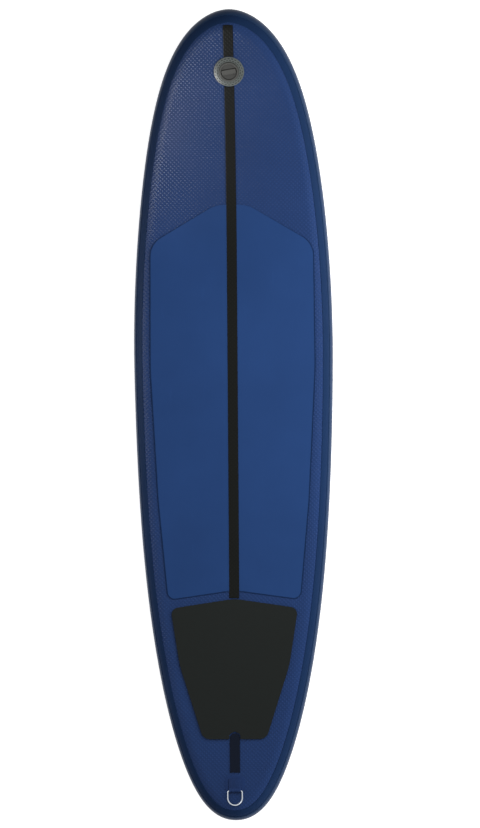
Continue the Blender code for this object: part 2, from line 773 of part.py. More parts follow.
def make_panels():
    """The two halves of the smooth deck panel."""
    edge = TAPE_WIDTH / 2 + GAP
    tail_slope = (PANEL_TAIL_PEAK - PANEL_TAIL) / PANEL_TAIL_HALF
    corners = [
        (edge, PANEL_PEAK, 0),
        (edge, PANEL_TAIL_PEAK - tail_slope * edge, 0),
        (PANEL_TAIL_HALF, PANEL_TAIL, PANEL_TAIL_RADIUS),
        (PANEL_LOW_HALF, PANEL_LOW, PANEL_SIDE_RADIUS),
        (PANEL_MIDDLE_HALF, PANEL_MIDDLE, PANEL_SIDE_RADIUS),
        (PANEL_SHOULDER_HALF, PANEL_SHOULDER, PANEL_SHOULDER_RADIUS),
        (PANEL_PEAK_HALF, PANEL_PEAK, PANEL_PEAK_RADIUS),
    ]
    right = rounded(corners)
    for name, side in (("right", 1), ("left", -1)):
        outline = [(side * x, y) for x, y in right]
        laid_piece(f"deck_panel_{name}", outline, SHEET_OUT + GAP, PANEL, PANEL_BLUE)


def make_pad():
    """The foam pad over the tail, notched for the short centre tape."""
    notch = TAPE_WIDTH / 2 + PAD_CLEARANCE
    right = [
        (0.0, PAD_PEAK, PAD_PEAK_RADIUS),
        (PAD_SHOULDER_HALF, PAD_SHOULDER, PAD_SHOULDER_RADIUS),
        (PAD_WAIST_HALF, PAD_WAIST, PAD_WAIST_RADIUS),
        (PAD_TAIL_HALF, PAD_TAIL, PAD_TAIL_RADIUS),
        (notch, PAD_TAIL, PAD_BEVEL * 2),
        (notch, PAD_NOTCH_TOP, notch - PAD_CLEARANCE),
    ]
    left = [(-x, y, radius) for x, y, radius in right[:0:-1]]
    outline = rounded([*right, *left], 4)
    laid_piece("tail_pad", outline, SHEET_OUT + GAP, PAD, FOAM_BLACK, PAD_BEVEL)


def make_valve_body(carrier):
    """Flange with two rows of grip slots, barrel, valve lip and the spider that guides the stem."""
    profile = [
        (FLANGE_RADIUS - FLANGE_RIM / 2, FLANGE_FOOT + FLANGE_RIM),
        (FLANGE_RADIUS, FLANGE_FOOT + FLANGE_RIM / 2),
        (FLANGE_RADIUS, FLANGE_FOOT),
        (BARREL_RADIUS, FLANGE_FOOT),
        (BARREL_RADIUS, -BARREL_DEPTH),
        (VALVE_LIP_RADIUS, -BARREL_DEPTH),
        (VALVE_LIP_RADIUS, -BARREL_DEPTH + VALVE_LIP / 2),
        (BORE_RADIUS, -BARREL_DEPTH + VALVE_LIP),
        (BORE_RADIUS, LEDGE_TOP),
        (CAP_RADIUS + RUNNING, LEDGE_TOP),
        (CAP_RADIUS + RUNNING, FLANGE_HEIGHT),
        (CAP_RADIUS + CAP_EDGE * 2, FLANGE_HEIGHT),
        ((FLANGE_RADIUS + CAP_RADIUS) / 2, FLANGE_HEIGHT - FLANGE_RIM / 3),
    ]
    body = turned("valve_body", profile, VALVE_GREY, carrier)
    for i in range(SPIDER_ARMS // 2):
        size = (2 * BORE_RADIUS + VALVE_LIP / 2, SPIDER_ARM, SPIDER_ARM_HEIGHT)
        arm = box(f"join_spider_arm_{i}", size, (0, 0, SPIDER_TOP - SPIDER_HUB / 2), None, carrier)
        arm.rotation_euler.z = math.pi * (i + 0.5) / (SPIDER_ARMS // 2)
        boolean(body, arm, "UNION")
    hub_foot = SPIDER_TOP - SPIDER_HUB
    steps = SMALL_TURN_STEPS
    hub = cylinder("join_spider_hub", SPIDER_HUB_RADIUS, hub_foot, SPIDER_TOP, None, carrier, steps)
    boolean(body, hub, "UNION")
    guide = STEM_RADIUS + RUNNING
    boolean(body, cylinder("cut_stem_guide", guide, -BARREL_DEPTH, STEM_TOP, None, carrier, steps))
    for row, radius in enumerate(SLOT_ROWS):
        boolean(body, slot_ring(f"cut_flange_slots_{row}", radius, row, carrier))
    return body


def flange_height(radius):
    """Height of the flange's sloping top."""
    radii = [CAP_RADIUS + CAP_EDGE * 2, (FLANGE_RADIUS + CAP_RADIUS) / 2, FLANGE_RADIUS - FLANGE_RIM / 2]
    heights = [FLANGE_HEIGHT, FLANGE_HEIGHT - FLANGE_RIM / 3, FLANGE_FOOT + FLANGE_RIM]
    return float(np.interp(radius, radii, heights))


def slot_ring(name, radius, row, carrier):
    """A ring of separate blocks, which cut one row of blind slots in the flange."""
    bm = bmesh.new()
    floor = flange_height(radius) - SLOT_DEPTH
    for i in range(SLOT_COUNT):
        made = bmesh.ops.create_cube(bm, size=1.0)["verts"]
        bmesh.ops.scale(bm, vec=(SLOT_WIDTH, SLOT_LENGTH, FLANGE_HEIGHT), verts=made)
        bmesh.ops.translate(bm, vec=(radius, 0, floor + FLANGE_HEIGHT / 2), verts=made)
        turn = Matrix.Rotation(2 * math.pi * (i + row / 2) / SLOT_COUNT, 3, "Z")
        bmesh.ops.rotate(bm, matrix=turn, verts=made)
    return add_object(name, mesh_from(bm, name), None, carrier)


def make_valve_clamp(carrier):
    """The gasket above the deck and the notched ring nut inside the chamber, which clamp the two sheets."""
    inner = BARREL_RADIUS + GAP
    outer = FLANGE_RADIUS - GASKET_MARGIN
    top = GAP + GASKET
    turned("valve_gasket", [(outer, top), (outer, GAP), (inner, GAP), (inner, top)], RUBBER_BLACK, carrier)
    ceiling = SKIN_OUT - SKIN - SHEET_OUT - GAP
    floor = ceiling - VALVE_NUT
    edge = VALVE_NUT / 6
    profile = [
        (VALVE_NUT_RADIUS, ceiling),
        (VALVE_NUT_RADIUS, floor + edge),
        (VALVE_NUT_RADIUS - edge, floor),
        (inner, floor),
        (inner, ceiling),
    ]
    nut = turned("valve_nut", profile, CAP_GREY, carrier)
    bm = bmesh.new()
    for i in range(VALVE_NUT_NOTCHES):
        made = bmesh.ops.create_cube(bm, size=1.0)["verts"]
        size = (2 * VALVE_NUT_NOTCH_DEPTH, VALVE_NUT_NOTCH, 3 * VALVE_NUT)
        bmesh.ops.scale(bm, vec=size, verts=made)
        bmesh.ops.translate(bm, vec=(VALVE_NUT_RADIUS, 0, floor), verts=made)
        bmesh.ops.rotate(bm, matrix=Matrix.Rotation(math.tau * i / VALVE_NUT_NOTCHES, 3, "Z"), verts=made)
    boolean(nut, add_object("cut_nut_notches", mesh_from(bm, "cut_nut_notches"), None, carrier))


def make_valve_stem(carrier):
    """The push stem with its button and lower plate, the seal that it carries and its return spring."""
    seal_top = -BARREL_DEPTH - GAP
    seal_foot = seal_top - VALVE_SEAL
    plate_top = seal_foot - GAP
    plate_foot = plate_top - STEM_PLATE
    button_foot = STEM_TOP - STEM_BUTTON
    edge = STEM_BUTTON / 4
    stem = [
        (0.0, STEM_TOP),
        (STEM_BUTTON_RADIUS - edge, STEM_TOP),
        (STEM_BUTTON_RADIUS, STEM_TOP - edge),
        (STEM_BUTTON_RADIUS, button_foot),
        (STEM_RADIUS, button_foot),
        (STEM_RADIUS, plate_top),
        (STEM_PLATE_RADIUS, plate_top),
        (STEM_PLATE_RADIUS, plate_foot),
        (0.0, plate_foot),
    ]
    turned("valve_stem", stem, CAP_GREY, carrier, SMALL_TURN_STEPS)
    inner = STEM_RADIUS + GAP
    seal = [
        (VALVE_SEAL_RADIUS, seal_top),
        (VALVE_SEAL_RADIUS, seal_foot),
        (inner, seal_foot),
        (inner, seal_top),
    ]
    turned("valve_seal", seal, RUBBER_BLACK, carrier)
    bottom = SPIDER_TOP + GAP + SPRING_WIRE_RADIUS
    top = button_foot - GAP - SPRING_WIRE_RADIUS
    count = SPRING_TURNS * SPRING_POINTS_A_TURN
    coil = []
    for i in range(count + 1):
        turn = math.tau * i / SPRING_POINTS_A_TURN
        height = bottom + (top - bottom) * i / count
        coil.append((SPRING_RADIUS * math.cos(turn), SPRING_RADIUS * math.sin(turn), height))
    wire("valve_spring", coil, SPRING_WIRE_RADIUS, STEEL, carrier, resolution=1)


def wire(name, points, radius, look, parent, cyclic=False, resolution=2):
    """A round wire through a list of points."""
    curve = bpy.data.curves.new(name, "CURVE")
    curve.dimensions = "3D"
    curve.bevel_depth = radius
    curve.bevel_resolution = resolution
    curve.use_fill_caps = True
    spline = curve.splines.new("POLY")
    spline.points.add(len(points) - 1)
    for point, place in zip(spline.points, points):
        point.co = (*place, 1.0)
    spline.use_cyclic_u = cyclic
    made = bpy.data.objects.new(name, curve)
    made.parent = parent
    curve.materials.append(material(name, look))
    BOARD.objects.link(made)
    return made


def grip_pocket(side):
    """The D-shaped outline of one of the two pockets beside the cap's grip bar."""
    chord = CAP_GRIP_WIDTH / 2
    start = math.asin(chord / CAP_RECESS_RADIUS)
    steps = 10
    points = []
    for i in range(steps + 1):
        angle = start + (math.pi - 2 * start) * i / steps
        points.append((CAP_RECESS_RADIUS * math.cos(angle), side * CAP_RECESS_RADIUS * math.sin(angle)))
    return points


def make_valve_cap(carrier):
    """The screw cap with its sunken grip bar, and the washer under its rim."""
    seal_foot = LEDGE_TOP + GAP
    seal_top = seal_foot + CAP_SEAL
    inner, outer = BORE_RADIUS + RUNNING, CAP_RADIUS - CAP_EDGE
    washer = [(outer, seal_top), (outer, seal_foot), (inner, seal_foot), (inner, seal_top)]
    turned("valve_cap_seal", washer, RUBBER_BLACK, carrier)
    plug = BORE_RADIUS - RUNNING
    profile = [
        (0.0, CAP_TOP),
        (CAP_RADIUS - CAP_EDGE, CAP_TOP),
        (CAP_RADIUS, CAP_TOP - CAP_EDGE),
        (CAP_RADIUS, CAP_RIM_FOOT),
        (plug, CAP_RIM_FOOT),
        (plug, CAP_PLATE_FOOT - CAP_SKIRT_DEPTH),
        (plug - CAP_SKIRT, CAP_PLATE_FOOT - CAP_SKIRT_DEPTH),
        (plug - CAP_SKIRT, CAP_PLATE_FOOT),
        (0.0, CAP_PLATE_FOOT),
    ]
    cap = turned("valve_cap", profile, CAP_GREY, carrier)
    for name, side in (("front", 1), ("back", -1)):
        low, high = CAP_TOP - CAP_RECESS_DEPTH, CAP_TOP + CAP_RECESS_DEPTH
        pocket = prism(f"cut_cap_pocket_{name}", grip_pocket(side), low, high, None, carrier)
        pocket.rotation_euler.z = math.radians(CAP_GRIP_TURN)
        boolean(cap, pocket)


def make_valve():
    """The valve's pieces, on an empty at the deck where the valve's axis meets it."""
    carrier = seat_empty("valve_axis", VALVE_STATION, SHEET_OUT)
    make_valve_body(carrier)
    make_valve_clamp(carrier)
    make_valve_stem(carrier)
    make_valve_cap(carrier)


def ring_points():
    """Centre line of the leash ring: a bar along X at its pivot, two sides and a half round."""
    corner = RING_CORNER
    straight = RING_LENGTH - RING_HALF_WIDTH
    points = []
    for i in range(4):
        angle = math.radians(90 - 30 * i)
        x = RING_HALF_WIDTH - corner + corner * math.cos(angle)
        points.append((x, -corner + corner * math.sin(angle), 0.0))
    for i in range(RING_ARC_STEPS + 1):
        angle = math.pi * i / RING_ARC_STEPS
        x = RING_HALF_WIDTH * math.cos(angle)
        points.append((x, -straight - RING_HALF_WIDTH * math.sin(angle), 0.0))
    for i in range(4):
        angle = math.radians(180 - 30 * i)
        x = -RING_HALF_WIDTH + corner + corner * math.cos(angle)
        points.append((x, -corner + corner * math.sin(angle), 0.0))
    return points


def make_leash_ring():
    """The wire ring, the webbing loop that holds its bar and the patch that the webbing is fixed to."""
    carrier = seat_empty("leash_axis", RING_STATION, SHEET_OUT)
    web_foot = 2 * GAP + LEASH_PATCH
    bar_height = web_foot + WEBBING + GAP + RING_WIRE_RADIUS
    patch_length = LEASH_PATCH_FRONT + LEASH_PATCH_BACK
    patch = oblong(patch_length, LEASH_PATCH_WIDTH, LEASH_PATCH_CORNER)
    centre = (LEASH_PATCH_FRONT - LEASH_PATCH_BACK) / 2
    outline = [(x, y + centre) for x, y in patch]
    prism("leash_patch", outline, GAP, GAP + LEASH_PATCH, SHEET_BLUE, carrier)

    pivot = bpy.data.objects.new("leash_ring_pivot", None)
    pivot.parent = carrier
    pivot.location = (0, 0, bar_height)
    drop = bar_height - RING_WIRE_RADIUS - GAP
    pivot.rotation_euler.x = math.asin(drop / RING_LENGTH)
    BOARD.objects.link(pivot)
    wire("leash_ring", ring_points(), RING_WIRE_RADIUS, STEEL, pivot, cyclic=True)
    make_webbing(carrier, web_foot, bar_height)


def make_webbing(carrier, foot, bar_height):
    """A strap folded round the ring's bar, its two ends lying on each other in front."""
    hole = RING_WIRE_RADIUS + GAP
    outer = hole + WEBBING
    top = foot + 2 * WEBBING
    outline = [(WEBBING_TONGUE, foot), (WEBBING_TONGUE, top), (WEBBING_CREASE, top)]
    steps = 10
    for i in range(steps + 1):
        angle = math.radians(WEBBING_FOLD_START + (270 - WEBBING_FOLD_START) * i / steps)
        outline.append((outer * math.cos(angle), bar_height + outer * math.sin(angle)))
    bm = prism_bmesh(outline, -WEBBING_WIDTH / 2, WEBBING_WIDTH / 2)
    turn = Matrix(((0, 0, 1), (1, 0, 0), (0, 1, 0)))
    bmesh.ops.rotate(bm, matrix=turn, verts=bm.verts)
    strap = add_object("leash_webbing", mesh_from(bm, "leash_webbing"), SHEET_BLUE, carrier)
    reach, steps = WEBBING_WIDTH, SMALL_TURN_STEPS
    bar = cylinder("cut_webbing_loop", hole, -reach, reach, None, carrier, steps, across=True)
    bar.location.z = bar_height
    boolean(strap, bar)


def fin_edges(share):
    """Leading and trailing edge of a fin at a share of its depth."""
    back = FIN_BASE / 2
    tip = -back - FIN_TIP_BACK
    trailing = -back + FIN_HOLLOW * math.sin(math.pi * share) - FIN_TIP_BACK * share**FIN_TRAIL_POWER
    fall = (1 - share**FIN_LEAD_POWER) ** FIN_LEAD_TIP_POWER
    return tip + (back - tip) * fall, trailing


def foil(thickness, flat_side):
    """Corners round a foil of unit chord, from its leading edge: fully thick on one side or on both."""
    half = []
    for i in range(FIN_FOIL_STEPS + 1):
        s = (1 - math.cos(math.pi * i / FIN_FOIL_STEPS)) / 2
        bulge = FOIL_FULLNESS * math.sqrt(s) * (1 - s) ** FOIL_TAIL_POWER
        half.append((s, thickness * (bulge / 2 + FOIL_EDGE)))
    share = FOIL_FLAT_SIDE if flat_side else 1.0
    return half + [(s, -t * share) for s, t in half[::-1]]


def fin_blade(name, depth, thickness, foot, flat_side, parent):
    """A swept fin, lofted through foils that shrink towards the tip."""
    bm = bmesh.new()
    section = foil(thickness, flat_side)
    rows = []
    for i in range(FIN_LEVELS):
        share = math.sin(math.pi / 2 * i / (FIN_LEVELS - 1)) * FIN_TIP_CUT
        lead, trail = fin_edges(share)
        taper = FIN_TIP_THINNESS + (1 - FIN_TIP_THINNESS) * (1 - share)
        height = depth * share if i else foot
        rows.append([bm.verts.new((t * taper, lead + (trail - lead) * s, height)) for s, t in section])
    for first, second in zip(rows, rows[1:]):
        for j in range(len(first)):
            k = (j + 1) % len(first)
            bm.faces.new((first[j], first[k], second[k], second[j]))
    bm.faces.new(rows[0])
    bm.faces.new(rows[-1])
    return add_object(name, mesh_from(bm, name), None, parent)


def make_side_fins():
    """The two fixed side fins, each moulded with its flange, on their patches."""
    for name, side in (("right", 1), ("left", -1)):
        x = side * SIDE_FIN_FROM_CENTRE
        carrier = seat_empty(f"side_fin_seat_{name}", SIDE_FIN_STATION, SHEET_OUT, -1, x)
        toe = Matrix.Rotation(math.radians(-side * SIDE_FIN_TOE), 4, "Z")
        carrier.matrix_world = carrier.matrix_world @ toe
        margin = 2 * SIDE_PATCH_MARGIN
        length, width = SIDE_FLANGE_LENGTH, SIDE_FLANGE_WIDTH
        patch = oblong(length + margin, width + margin, width / 2)
        prism(f"side_fin_patch_{name}", patch, GAP, GAP + FIN_PATCH, SHEET_BLUE, carrier)
        foot = 2 * GAP + FIN_PATCH
        top = foot + SIDE_FLANGE
        flange = oblong(length, width, SIDE_FLANGE_CORNER)
        fin = prism(f"side_fin_{name}", flange, foot, top, FIN_DARK, carrier, bevel=SIDE_FLANGE / 3)
        blade = fin_blade(
            f"join_side_blade_{name}", SIDE_FIN_DEPTH, SIDE_FIN_THICKNESS, -SIDE_FLANGE / 2, True, carrier
        )
        if side < 0:
            blade.data.transform(Matrix.Scale(-1, 4, (1, 0, 0)))
            blade.data.flip_normals()
        blade.location.z = top
        blade.rotation_euler.y = math.radians(-side * SIDE_FIN_CANT)
        boolean(fin, blade, "UNION")


def make_fin_box(carrier):
    """The box with its flange, T-shaped slot and loading notch, on its patch."""
    length, width = BOX_FLANGE_LENGTH + 2 * BOX_PATCH_MARGIN, BOX_FLANGE_WIDTH + 2 * BOX_PATCH_MARGIN
    patch = oblong(length, width, BOX_FLANGE_CORNER + BOX_PATCH_MARGIN)
    prism("fin_box_patch", patch, GAP, GAP + FIN_PATCH, SHEET_BLUE, carrier)
    flange = oblong(BOX_FLANGE_LENGTH, BOX_FLANGE_WIDTH, BOX_FLANGE_CORNER)
    made = prism("fin_box", flange, BOX_FOOT, BOX_FOOT + BOX_FLANGE, RUBBER_BLACK, carrier)
    body = oblong(BOX_LENGTH, BOX_WIDTH, BOX_END_CORNER)
    block = prism("join_box_block", body, BOX_FOOT + BOX_FLANGE / 2, BOX_FACE, None, carrier, BOX_EDGE)
    boolean(made, block, "UNION")
    slot = oblong(BOX_SLOT_LENGTH, BOX_SLOT_WIDTH, BOX_SLOT_CORNER, 3)
    top = BOX_FACE + BOX_LIP
    boolean(made, prism("cut_box_slot", slot, BOX_FACE - BOX_SLOT_DEPTH, top, None, carrier))
    channel = oblong(BOX_SLOT_LENGTH, BOX_CHANNEL_WIDTH, BOX_CHANNEL_CORNER, 3)
    ceiling = BOX_FACE - BOX_LIP
    boolean(made, prism("cut_box_channel", channel, ceiling - BOX_CHANNEL_HEIGHT, ceiling, None, carrier))
    size = (BOX_CHANNEL_WIDTH, BOX_NOTCH_LENGTH, 2 * BOX_LIP + BOX_CHANNEL_HEIGHT)
    place = (0, BOX_SLOT_LENGTH / 2 - BOX_NOTCH_LENGTH, BOX_FACE)
    boolean(made, box("cut_box_notch", size, place, None, carrier))


def make_centre_fin(carrier):
    """The removable fin on its foot and tab, with the pin, plate and screw that hold it in the box."""
    foot = BOX_FACE + GAP
    top = foot + FOOT_HEIGHT
    shape = oblong(FOOT_BACK + FOOT_FRONT, FOOT_WIDTH, FOOT_CORNER)
    middle = (FOOT_FRONT - FOOT_BACK) / 2
    outline = [(x, y + middle) for x, y in shape]
    fin = prism("centre_fin", outline, foot, top, FIN_DARK, carrier, bevel=FOOT_HEIGHT / 4)
    depth, thickness = CENTRE_FIN_DEPTH, CENTRE_FIN_THICKNESS
    blade = fin_blade("join_centre_blade", depth, thickness, -FOOT_HEIGHT / 2, False, carrier)
    blade.location.z = top
    boolean(fin, blade, "UNION")
    tab_width = BOX_SLOT_WIDTH - 2 * RUNNING
    tab = oblong(TAB_LENGTH, tab_width, TAB_CORNER, 2)
    low, high = BOX_FACE - TAB_DEPTH, foot + FOOT_HEIGHT / 2
    boolean(fin, prism("join_fin_tab", tab, low, high, None, carrier), "UNION")
    channel_middle = BOX_FACE - BOX_LIP - BOX_CHANNEL_HEIGHT / 2
    pin_y = -TAB_LENGTH / 2 + PIN_FROM_BACK
    steps = SMALL_TURN_STEPS
    reach = BOX_WIDTH
    hole = cylinder("cut_pin_hole", PIN_RADIUS + GAP, -reach, reach, None, carrier, steps, across=True)
    hole.location = (0, pin_y, channel_middle)
    boolean(fin, hole)
    reach = BOX_CHANNEL_WIDTH / 2 - RUNNING
    pin = cylinder("fin_pin", PIN_RADIUS, -reach, reach, STEEL, carrier, steps, across=True)
    pin.location = (0, pin_y, channel_middle)
    screw_room = SCREW_RADIUS + GAP
    screw_hole = cylinder("cut_screw_hole", screw_room, -BOX_HEIGHT, BOX_HEIGHT, None, carrier, steps)
    screw_hole.location = (0, SCREW_STATION, BOX_FACE)
    boolean(fin, screw_hole)
    plate_top = BOX_FACE - BOX_LIP - GAP
    place = (0, SCREW_STATION, plate_top - PLATE_HEIGHT / 2)
    plate = box("fin_plate", (PLATE_SIDE, PLATE_SIDE, PLATE_HEIGHT), place, STEEL, carrier)
    boolean(plate, screw_hole)
    make_screw(carrier, top + GAP, plate_top - PLATE_HEIGHT)


def make_screw(carrier, head_foot, tip):
    """The screw that pulls the plate up under the box's lips."""
    head_top = head_foot + SCREW_HEAD
    profile = [
        (0.0, head_top),
        (SCREW_HEAD_RADIUS * 0.75, head_top),
        (SCREW_HEAD_RADIUS, head_top - SCREW_HEAD * 0.4),
        (SCREW_HEAD_RADIUS, head_foot),
        (SCREW_RADIUS, head_foot),
        (SCREW_RADIUS, tip),
        (0.0, tip),
    ]
    screw = turned("fin_screw", profile, STEEL, carrier, SMALL_TURN_STEPS)
    screw.location.y = SCREW_STATION
    for i in range(2):
        size = (SCREW_HEAD_RADIUS * 1.2, SCREW_DRIVE, SCREW_HEAD)
        drive = box(f"cut_screw_drive_{i}", size, (0, 0, head_top), None, carrier)
        drive.rotation_euler.z = math.pi / 2 * i
        drive.location.y = SCREW_STATION
        boolean(screw, drive)


def make_fins():
    """Side fins, fin box and centre fin."""
    make_side_fins()
    carrier = seat_empty("fin_box_seat", BOX_STATION, SHEET_OUT, -1)
    make_fin_box(carrier)
    make_centre_fin(carrier)


def build():
    """Builds the whole board."""
    hole = make_chamber()
    make_cover(hole)
    make_yarns()
    make_tapes()
    make_panels()
    make_pad()
    make_valve()
    make_leash_ring()
    make_fins()


build()
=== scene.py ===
"""Inflatable surfboard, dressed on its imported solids.

Lengths are in metres and angles in degrees. The board lies deck up, with X across it, Y towards its
nose and Z up out of the deck.
"""

import math

import bmesh
import bpy
import numpy as np
from mathutils import Matrix, Vector


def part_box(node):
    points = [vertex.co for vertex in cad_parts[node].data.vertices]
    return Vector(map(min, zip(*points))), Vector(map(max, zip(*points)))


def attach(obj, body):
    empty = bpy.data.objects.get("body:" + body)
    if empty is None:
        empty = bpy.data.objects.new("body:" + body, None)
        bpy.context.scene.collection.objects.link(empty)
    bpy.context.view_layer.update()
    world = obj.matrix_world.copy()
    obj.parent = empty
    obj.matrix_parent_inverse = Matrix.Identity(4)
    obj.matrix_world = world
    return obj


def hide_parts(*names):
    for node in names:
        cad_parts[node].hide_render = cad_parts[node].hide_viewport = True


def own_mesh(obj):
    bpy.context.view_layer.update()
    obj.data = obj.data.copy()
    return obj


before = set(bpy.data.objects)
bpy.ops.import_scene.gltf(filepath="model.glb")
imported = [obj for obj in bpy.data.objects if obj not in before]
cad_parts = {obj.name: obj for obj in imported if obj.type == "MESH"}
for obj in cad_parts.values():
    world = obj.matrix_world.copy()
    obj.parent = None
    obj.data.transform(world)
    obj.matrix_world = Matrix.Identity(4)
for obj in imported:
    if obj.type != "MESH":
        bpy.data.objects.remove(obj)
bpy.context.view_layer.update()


# DECK SHEET
# The deck cover is one sheet of navy vinyl with a diamond emboss, welded over the chamber's deck skin
# and wrapped 45 degrees round the rails. The board's outline and rocker are worked out here.
LENGTH = 2.438
WIDTH = 0.600
HULL_RADIUS = 0.050  # of the rails, and half the board's thickness
SEAM_TAPE_RADIUS = 0.0524
PATH_HALF_WIDTH = WIDTH / 2 - SEAM_TAPE_RADIUS
NOSE_PATH_END = LENGTH / 2 - SEAM_TAPE_RADIUS
TAIL_PATH_END = -LENGTH / 2 + SEAM_TAPE_RADIUS
WIDE_POINT = 0.192
FIN_SEAT = (-1.160, -0.780)
VALVE_SEAT = (0.994, 1.094)
FLAT_END = 0.400  # where the flat middle of the hull ends, from mid-length
NOSE_RISE = 0.130
TAIL_RISE = 0.035
NOSE_SHAPE = (3.30, 0.560, -0.485)  # p, q and f of the outline's formula
TAIL_SHAPE = (1.616, 0.4655, 0.388)
HULL_STEPS = 150  # on each side, from the wide point to a tip
WRAP_STEPS = 8
DECK_COLUMNS = 44
SHEET = 0.0009
GAP = 0.0003
DECK_SHEET_WRAP = 45.0


def path_half_width(y):
    """Half the distance between the rails' centre lines: with t running from 0 at the wide point to 1
    at a tip, the half width is (1 - t^p)^q (1 + f t^2 (1 - t)) times that at the wide point."""
    ahead = np.clip((y - WIDE_POINT) / (NOSE_PATH_END - WIDE_POINT), 0, 1)
    behind = np.clip((WIDE_POINT - y) / (WIDE_POINT - TAIL_PATH_END), 0, 1)
    nose, tail = (
        np.maximum(1 - t**p, 0) ** q * (1 + f * t**2 * (1 - t))
        for t, (p, q, f) in ((ahead, NOSE_SHAPE), (behind, TAIL_SHAPE))
    )
    return PATH_HALF_WIDTH * np.where(y >= WIDE_POINT, nose, tail)


def free_rocker(y):
    """Rise of a freely bent hull and its slope: t^2.3 times the whole rise towards the nose and t^2
    times it towards the tail, with t running from 0 at the end of the flat middle to 1 at the tip."""
    t = np.maximum(np.abs(y) - FLAT_END, 0) / (LENGTH / 2 - FLAT_END)
    rise, power = np.where(y > 0, NOSE_RISE, TAIL_RISE), np.where(y > 0, 2.3, 2.0)
    slope = rise * power * t ** (power - 1) / (LENGTH / 2 - FLAT_END)
    return rise * t**power, np.sign(y) * slope


ROCKER_KNOTS = np.array([
    TAIL_PATH_END, *FIN_SEAT, -0.66, -0.53, -FLAT_END, FLAT_END, 0.52, 0.64, 0.76, 0.88, *VALVE_SEAT, 1.13,
    NOSE_PATH_END,
])


def rocker(y):
    """Height of the chamber's middle and tilt of the deck: a cubic from knot to knot with the free
    hull's slope at each, which is straight over the stiff seats of the fins and the valve."""
    rise, slope = free_rocker(ROCKER_KNOTS)
    tilt = np.arctan(slope)
    for low, high in (FIN_SEAT, VALVE_SEAT):
        ends = np.searchsorted(ROCKER_KNOTS, (low, high))
        slope[ends] = (rise[ends[1]] - rise[ends[0]]) / (high - low)
    i = np.clip(np.searchsorted(ROCKER_KNOTS, y, side="right") - 1, 0, len(ROCKER_KNOTS) - 2)
    span = ROCKER_KNOTS[i + 1] - ROCKER_KNOTS[i]
    u = (y - ROCKER_KNOTS[i]) / span
    height = (1 + 2 * u) * (1 - u) ** 2 * rise[i] + u * u * (3 - 2 * u) * rise[i + 1]
    height += span * u * (1 - u) * ((1 - u) * slope[i] - u * slope[i + 1])
    lean = np.arctan(free_rocker(y)[1])
    for low, high in (FIN_SEAT, VALVE_SEAT):
        inside = (y > low) & (y < high)
        ends = tilt[np.searchsorted(ROCKER_KNOTS, (low, high))]
        lean = np.where(inside, np.interp(y, (low, high), ends), lean)
    return HULL_RADIUS + height, lean


def on_board(x, y, height):
    """Points at a height from the chamber's middle, measured square to the hull."""
    middle, lean = rocker(y)
    x = np.broadcast_to(x, np.broadcast_shapes(np.shape(x), np.shape(y)))
    return np.stack([x, x * 0 + y - np.sin(lean) * height, x * 0 + middle + np.cos(lean) * height], axis=-1)


def hull_stations():
    """Places along the board from nose to tail. The i-th of n from a tip lies at 1 - (i/n)^2.6 of the way
    there from the wide point, so they crowd to the tips."""
    share = 1 - np.linspace(0, 1, HULL_STEPS + 1) ** 2.6
    nose = WIDE_POINT + share * (NOSE_PATH_END - WIDE_POINT)
    tail = WIDE_POINT + share * (TAIL_PATH_END - WIDE_POINT)
    return np.concatenate([nose, tail[-2::-1]])


STATIONS = hull_stations()


def rail(side, radius, angles):
    """Points round one rail: each arc turns by the angle from the deck's normal towards the way out,
    which is square to the path of the rail in the plane of the deck there."""
    y = STATIONS
    step = np.minimum(0.001, np.minimum(NOSE_PATH_END - y, y - TAIL_PATH_END) / 4) + 1e-9
    slope = (path_half_width(y + step) - path_half_width(y - step)) / (2 * step)
    lean = rocker(y)[1]
    upright = np.stack([0 * y, -np.sin(lean), np.cos(lean)], axis=-1)
    forward = np.stack([0 * y, np.cos(lean), np.sin(lean)], axis=-1)
    across, ahead = side / np.cos(lean), -slope
    across[[0, -1]], ahead[[0, -1]] = 0.0, (1.0, -1.0)
    outward = across[:, None] * np.array([1.0, 0, 0]) + ahead[:, None] * forward
    outward /= np.linalg.norm(outward, axis=-1, keepdims=True)
    middle = on_board(side * path_half_width(y), y, 0.0)
    turn = np.radians(angles)[None, :, None]
    return middle[:, None] + (upright[:, None] * np.cos(turn) + outward[:, None] * np.sin(turn)) * radius


def wrapped_sheet(radius, edge, face, columns=14):
    """A whole sheet from rail edge to rail edge: its left arc, the flat middle and its right arc, where
    face is 0 for the deck and 180 for the belly. Seen from outside, right comes first on the belly."""
    angles = np.linspace(edge, face, WRAP_STEPS)
    left, right = rail(-1, radius, angles), rail(1, radius, angles)[:, ::-1]
    share = np.linspace(0, 1, columns + 2)[1:-1, None]
    middle = left[:, -1, None] * (1 - share) + right[:, 0, None] * share
    rows = np.concatenate([left, middle, right], axis=1)
    return rows if face == 0 else rows[:, ::-1]


def surface(name, *grids, loop=False):
    """A mesh object from grids of points, with a face between each four neighbours. loop joins the last
    column to the first. Points that fall on one place, as at a tip, are merged."""
    corners, faces, base = [], [], 0
    for points in grids:
        rows, columns = points.shape[:2]
        index = base + np.arange(rows * columns).reshape(rows, columns)
        if loop:
            index = np.concatenate([index, index[:, :1]], axis=1)
        around = [index[:-1, :-1], index[1:, :-1], index[1:, 1:], index[:-1, 1:]]
        faces.append(np.stack(around, axis=-1).reshape(-1, 4))
        corners.append(points.reshape(-1, 3))
        base += rows * columns
    mesh = bpy.data.meshes.new(name)
    mesh.from_pydata(np.concatenate(corners).tolist(), [], np.concatenate(faces).tolist())
    tidy_mesh(mesh)
    made = bpy.data.objects.new(name, mesh)
    bpy.context.scene.collection.objects.link(made)
    return made


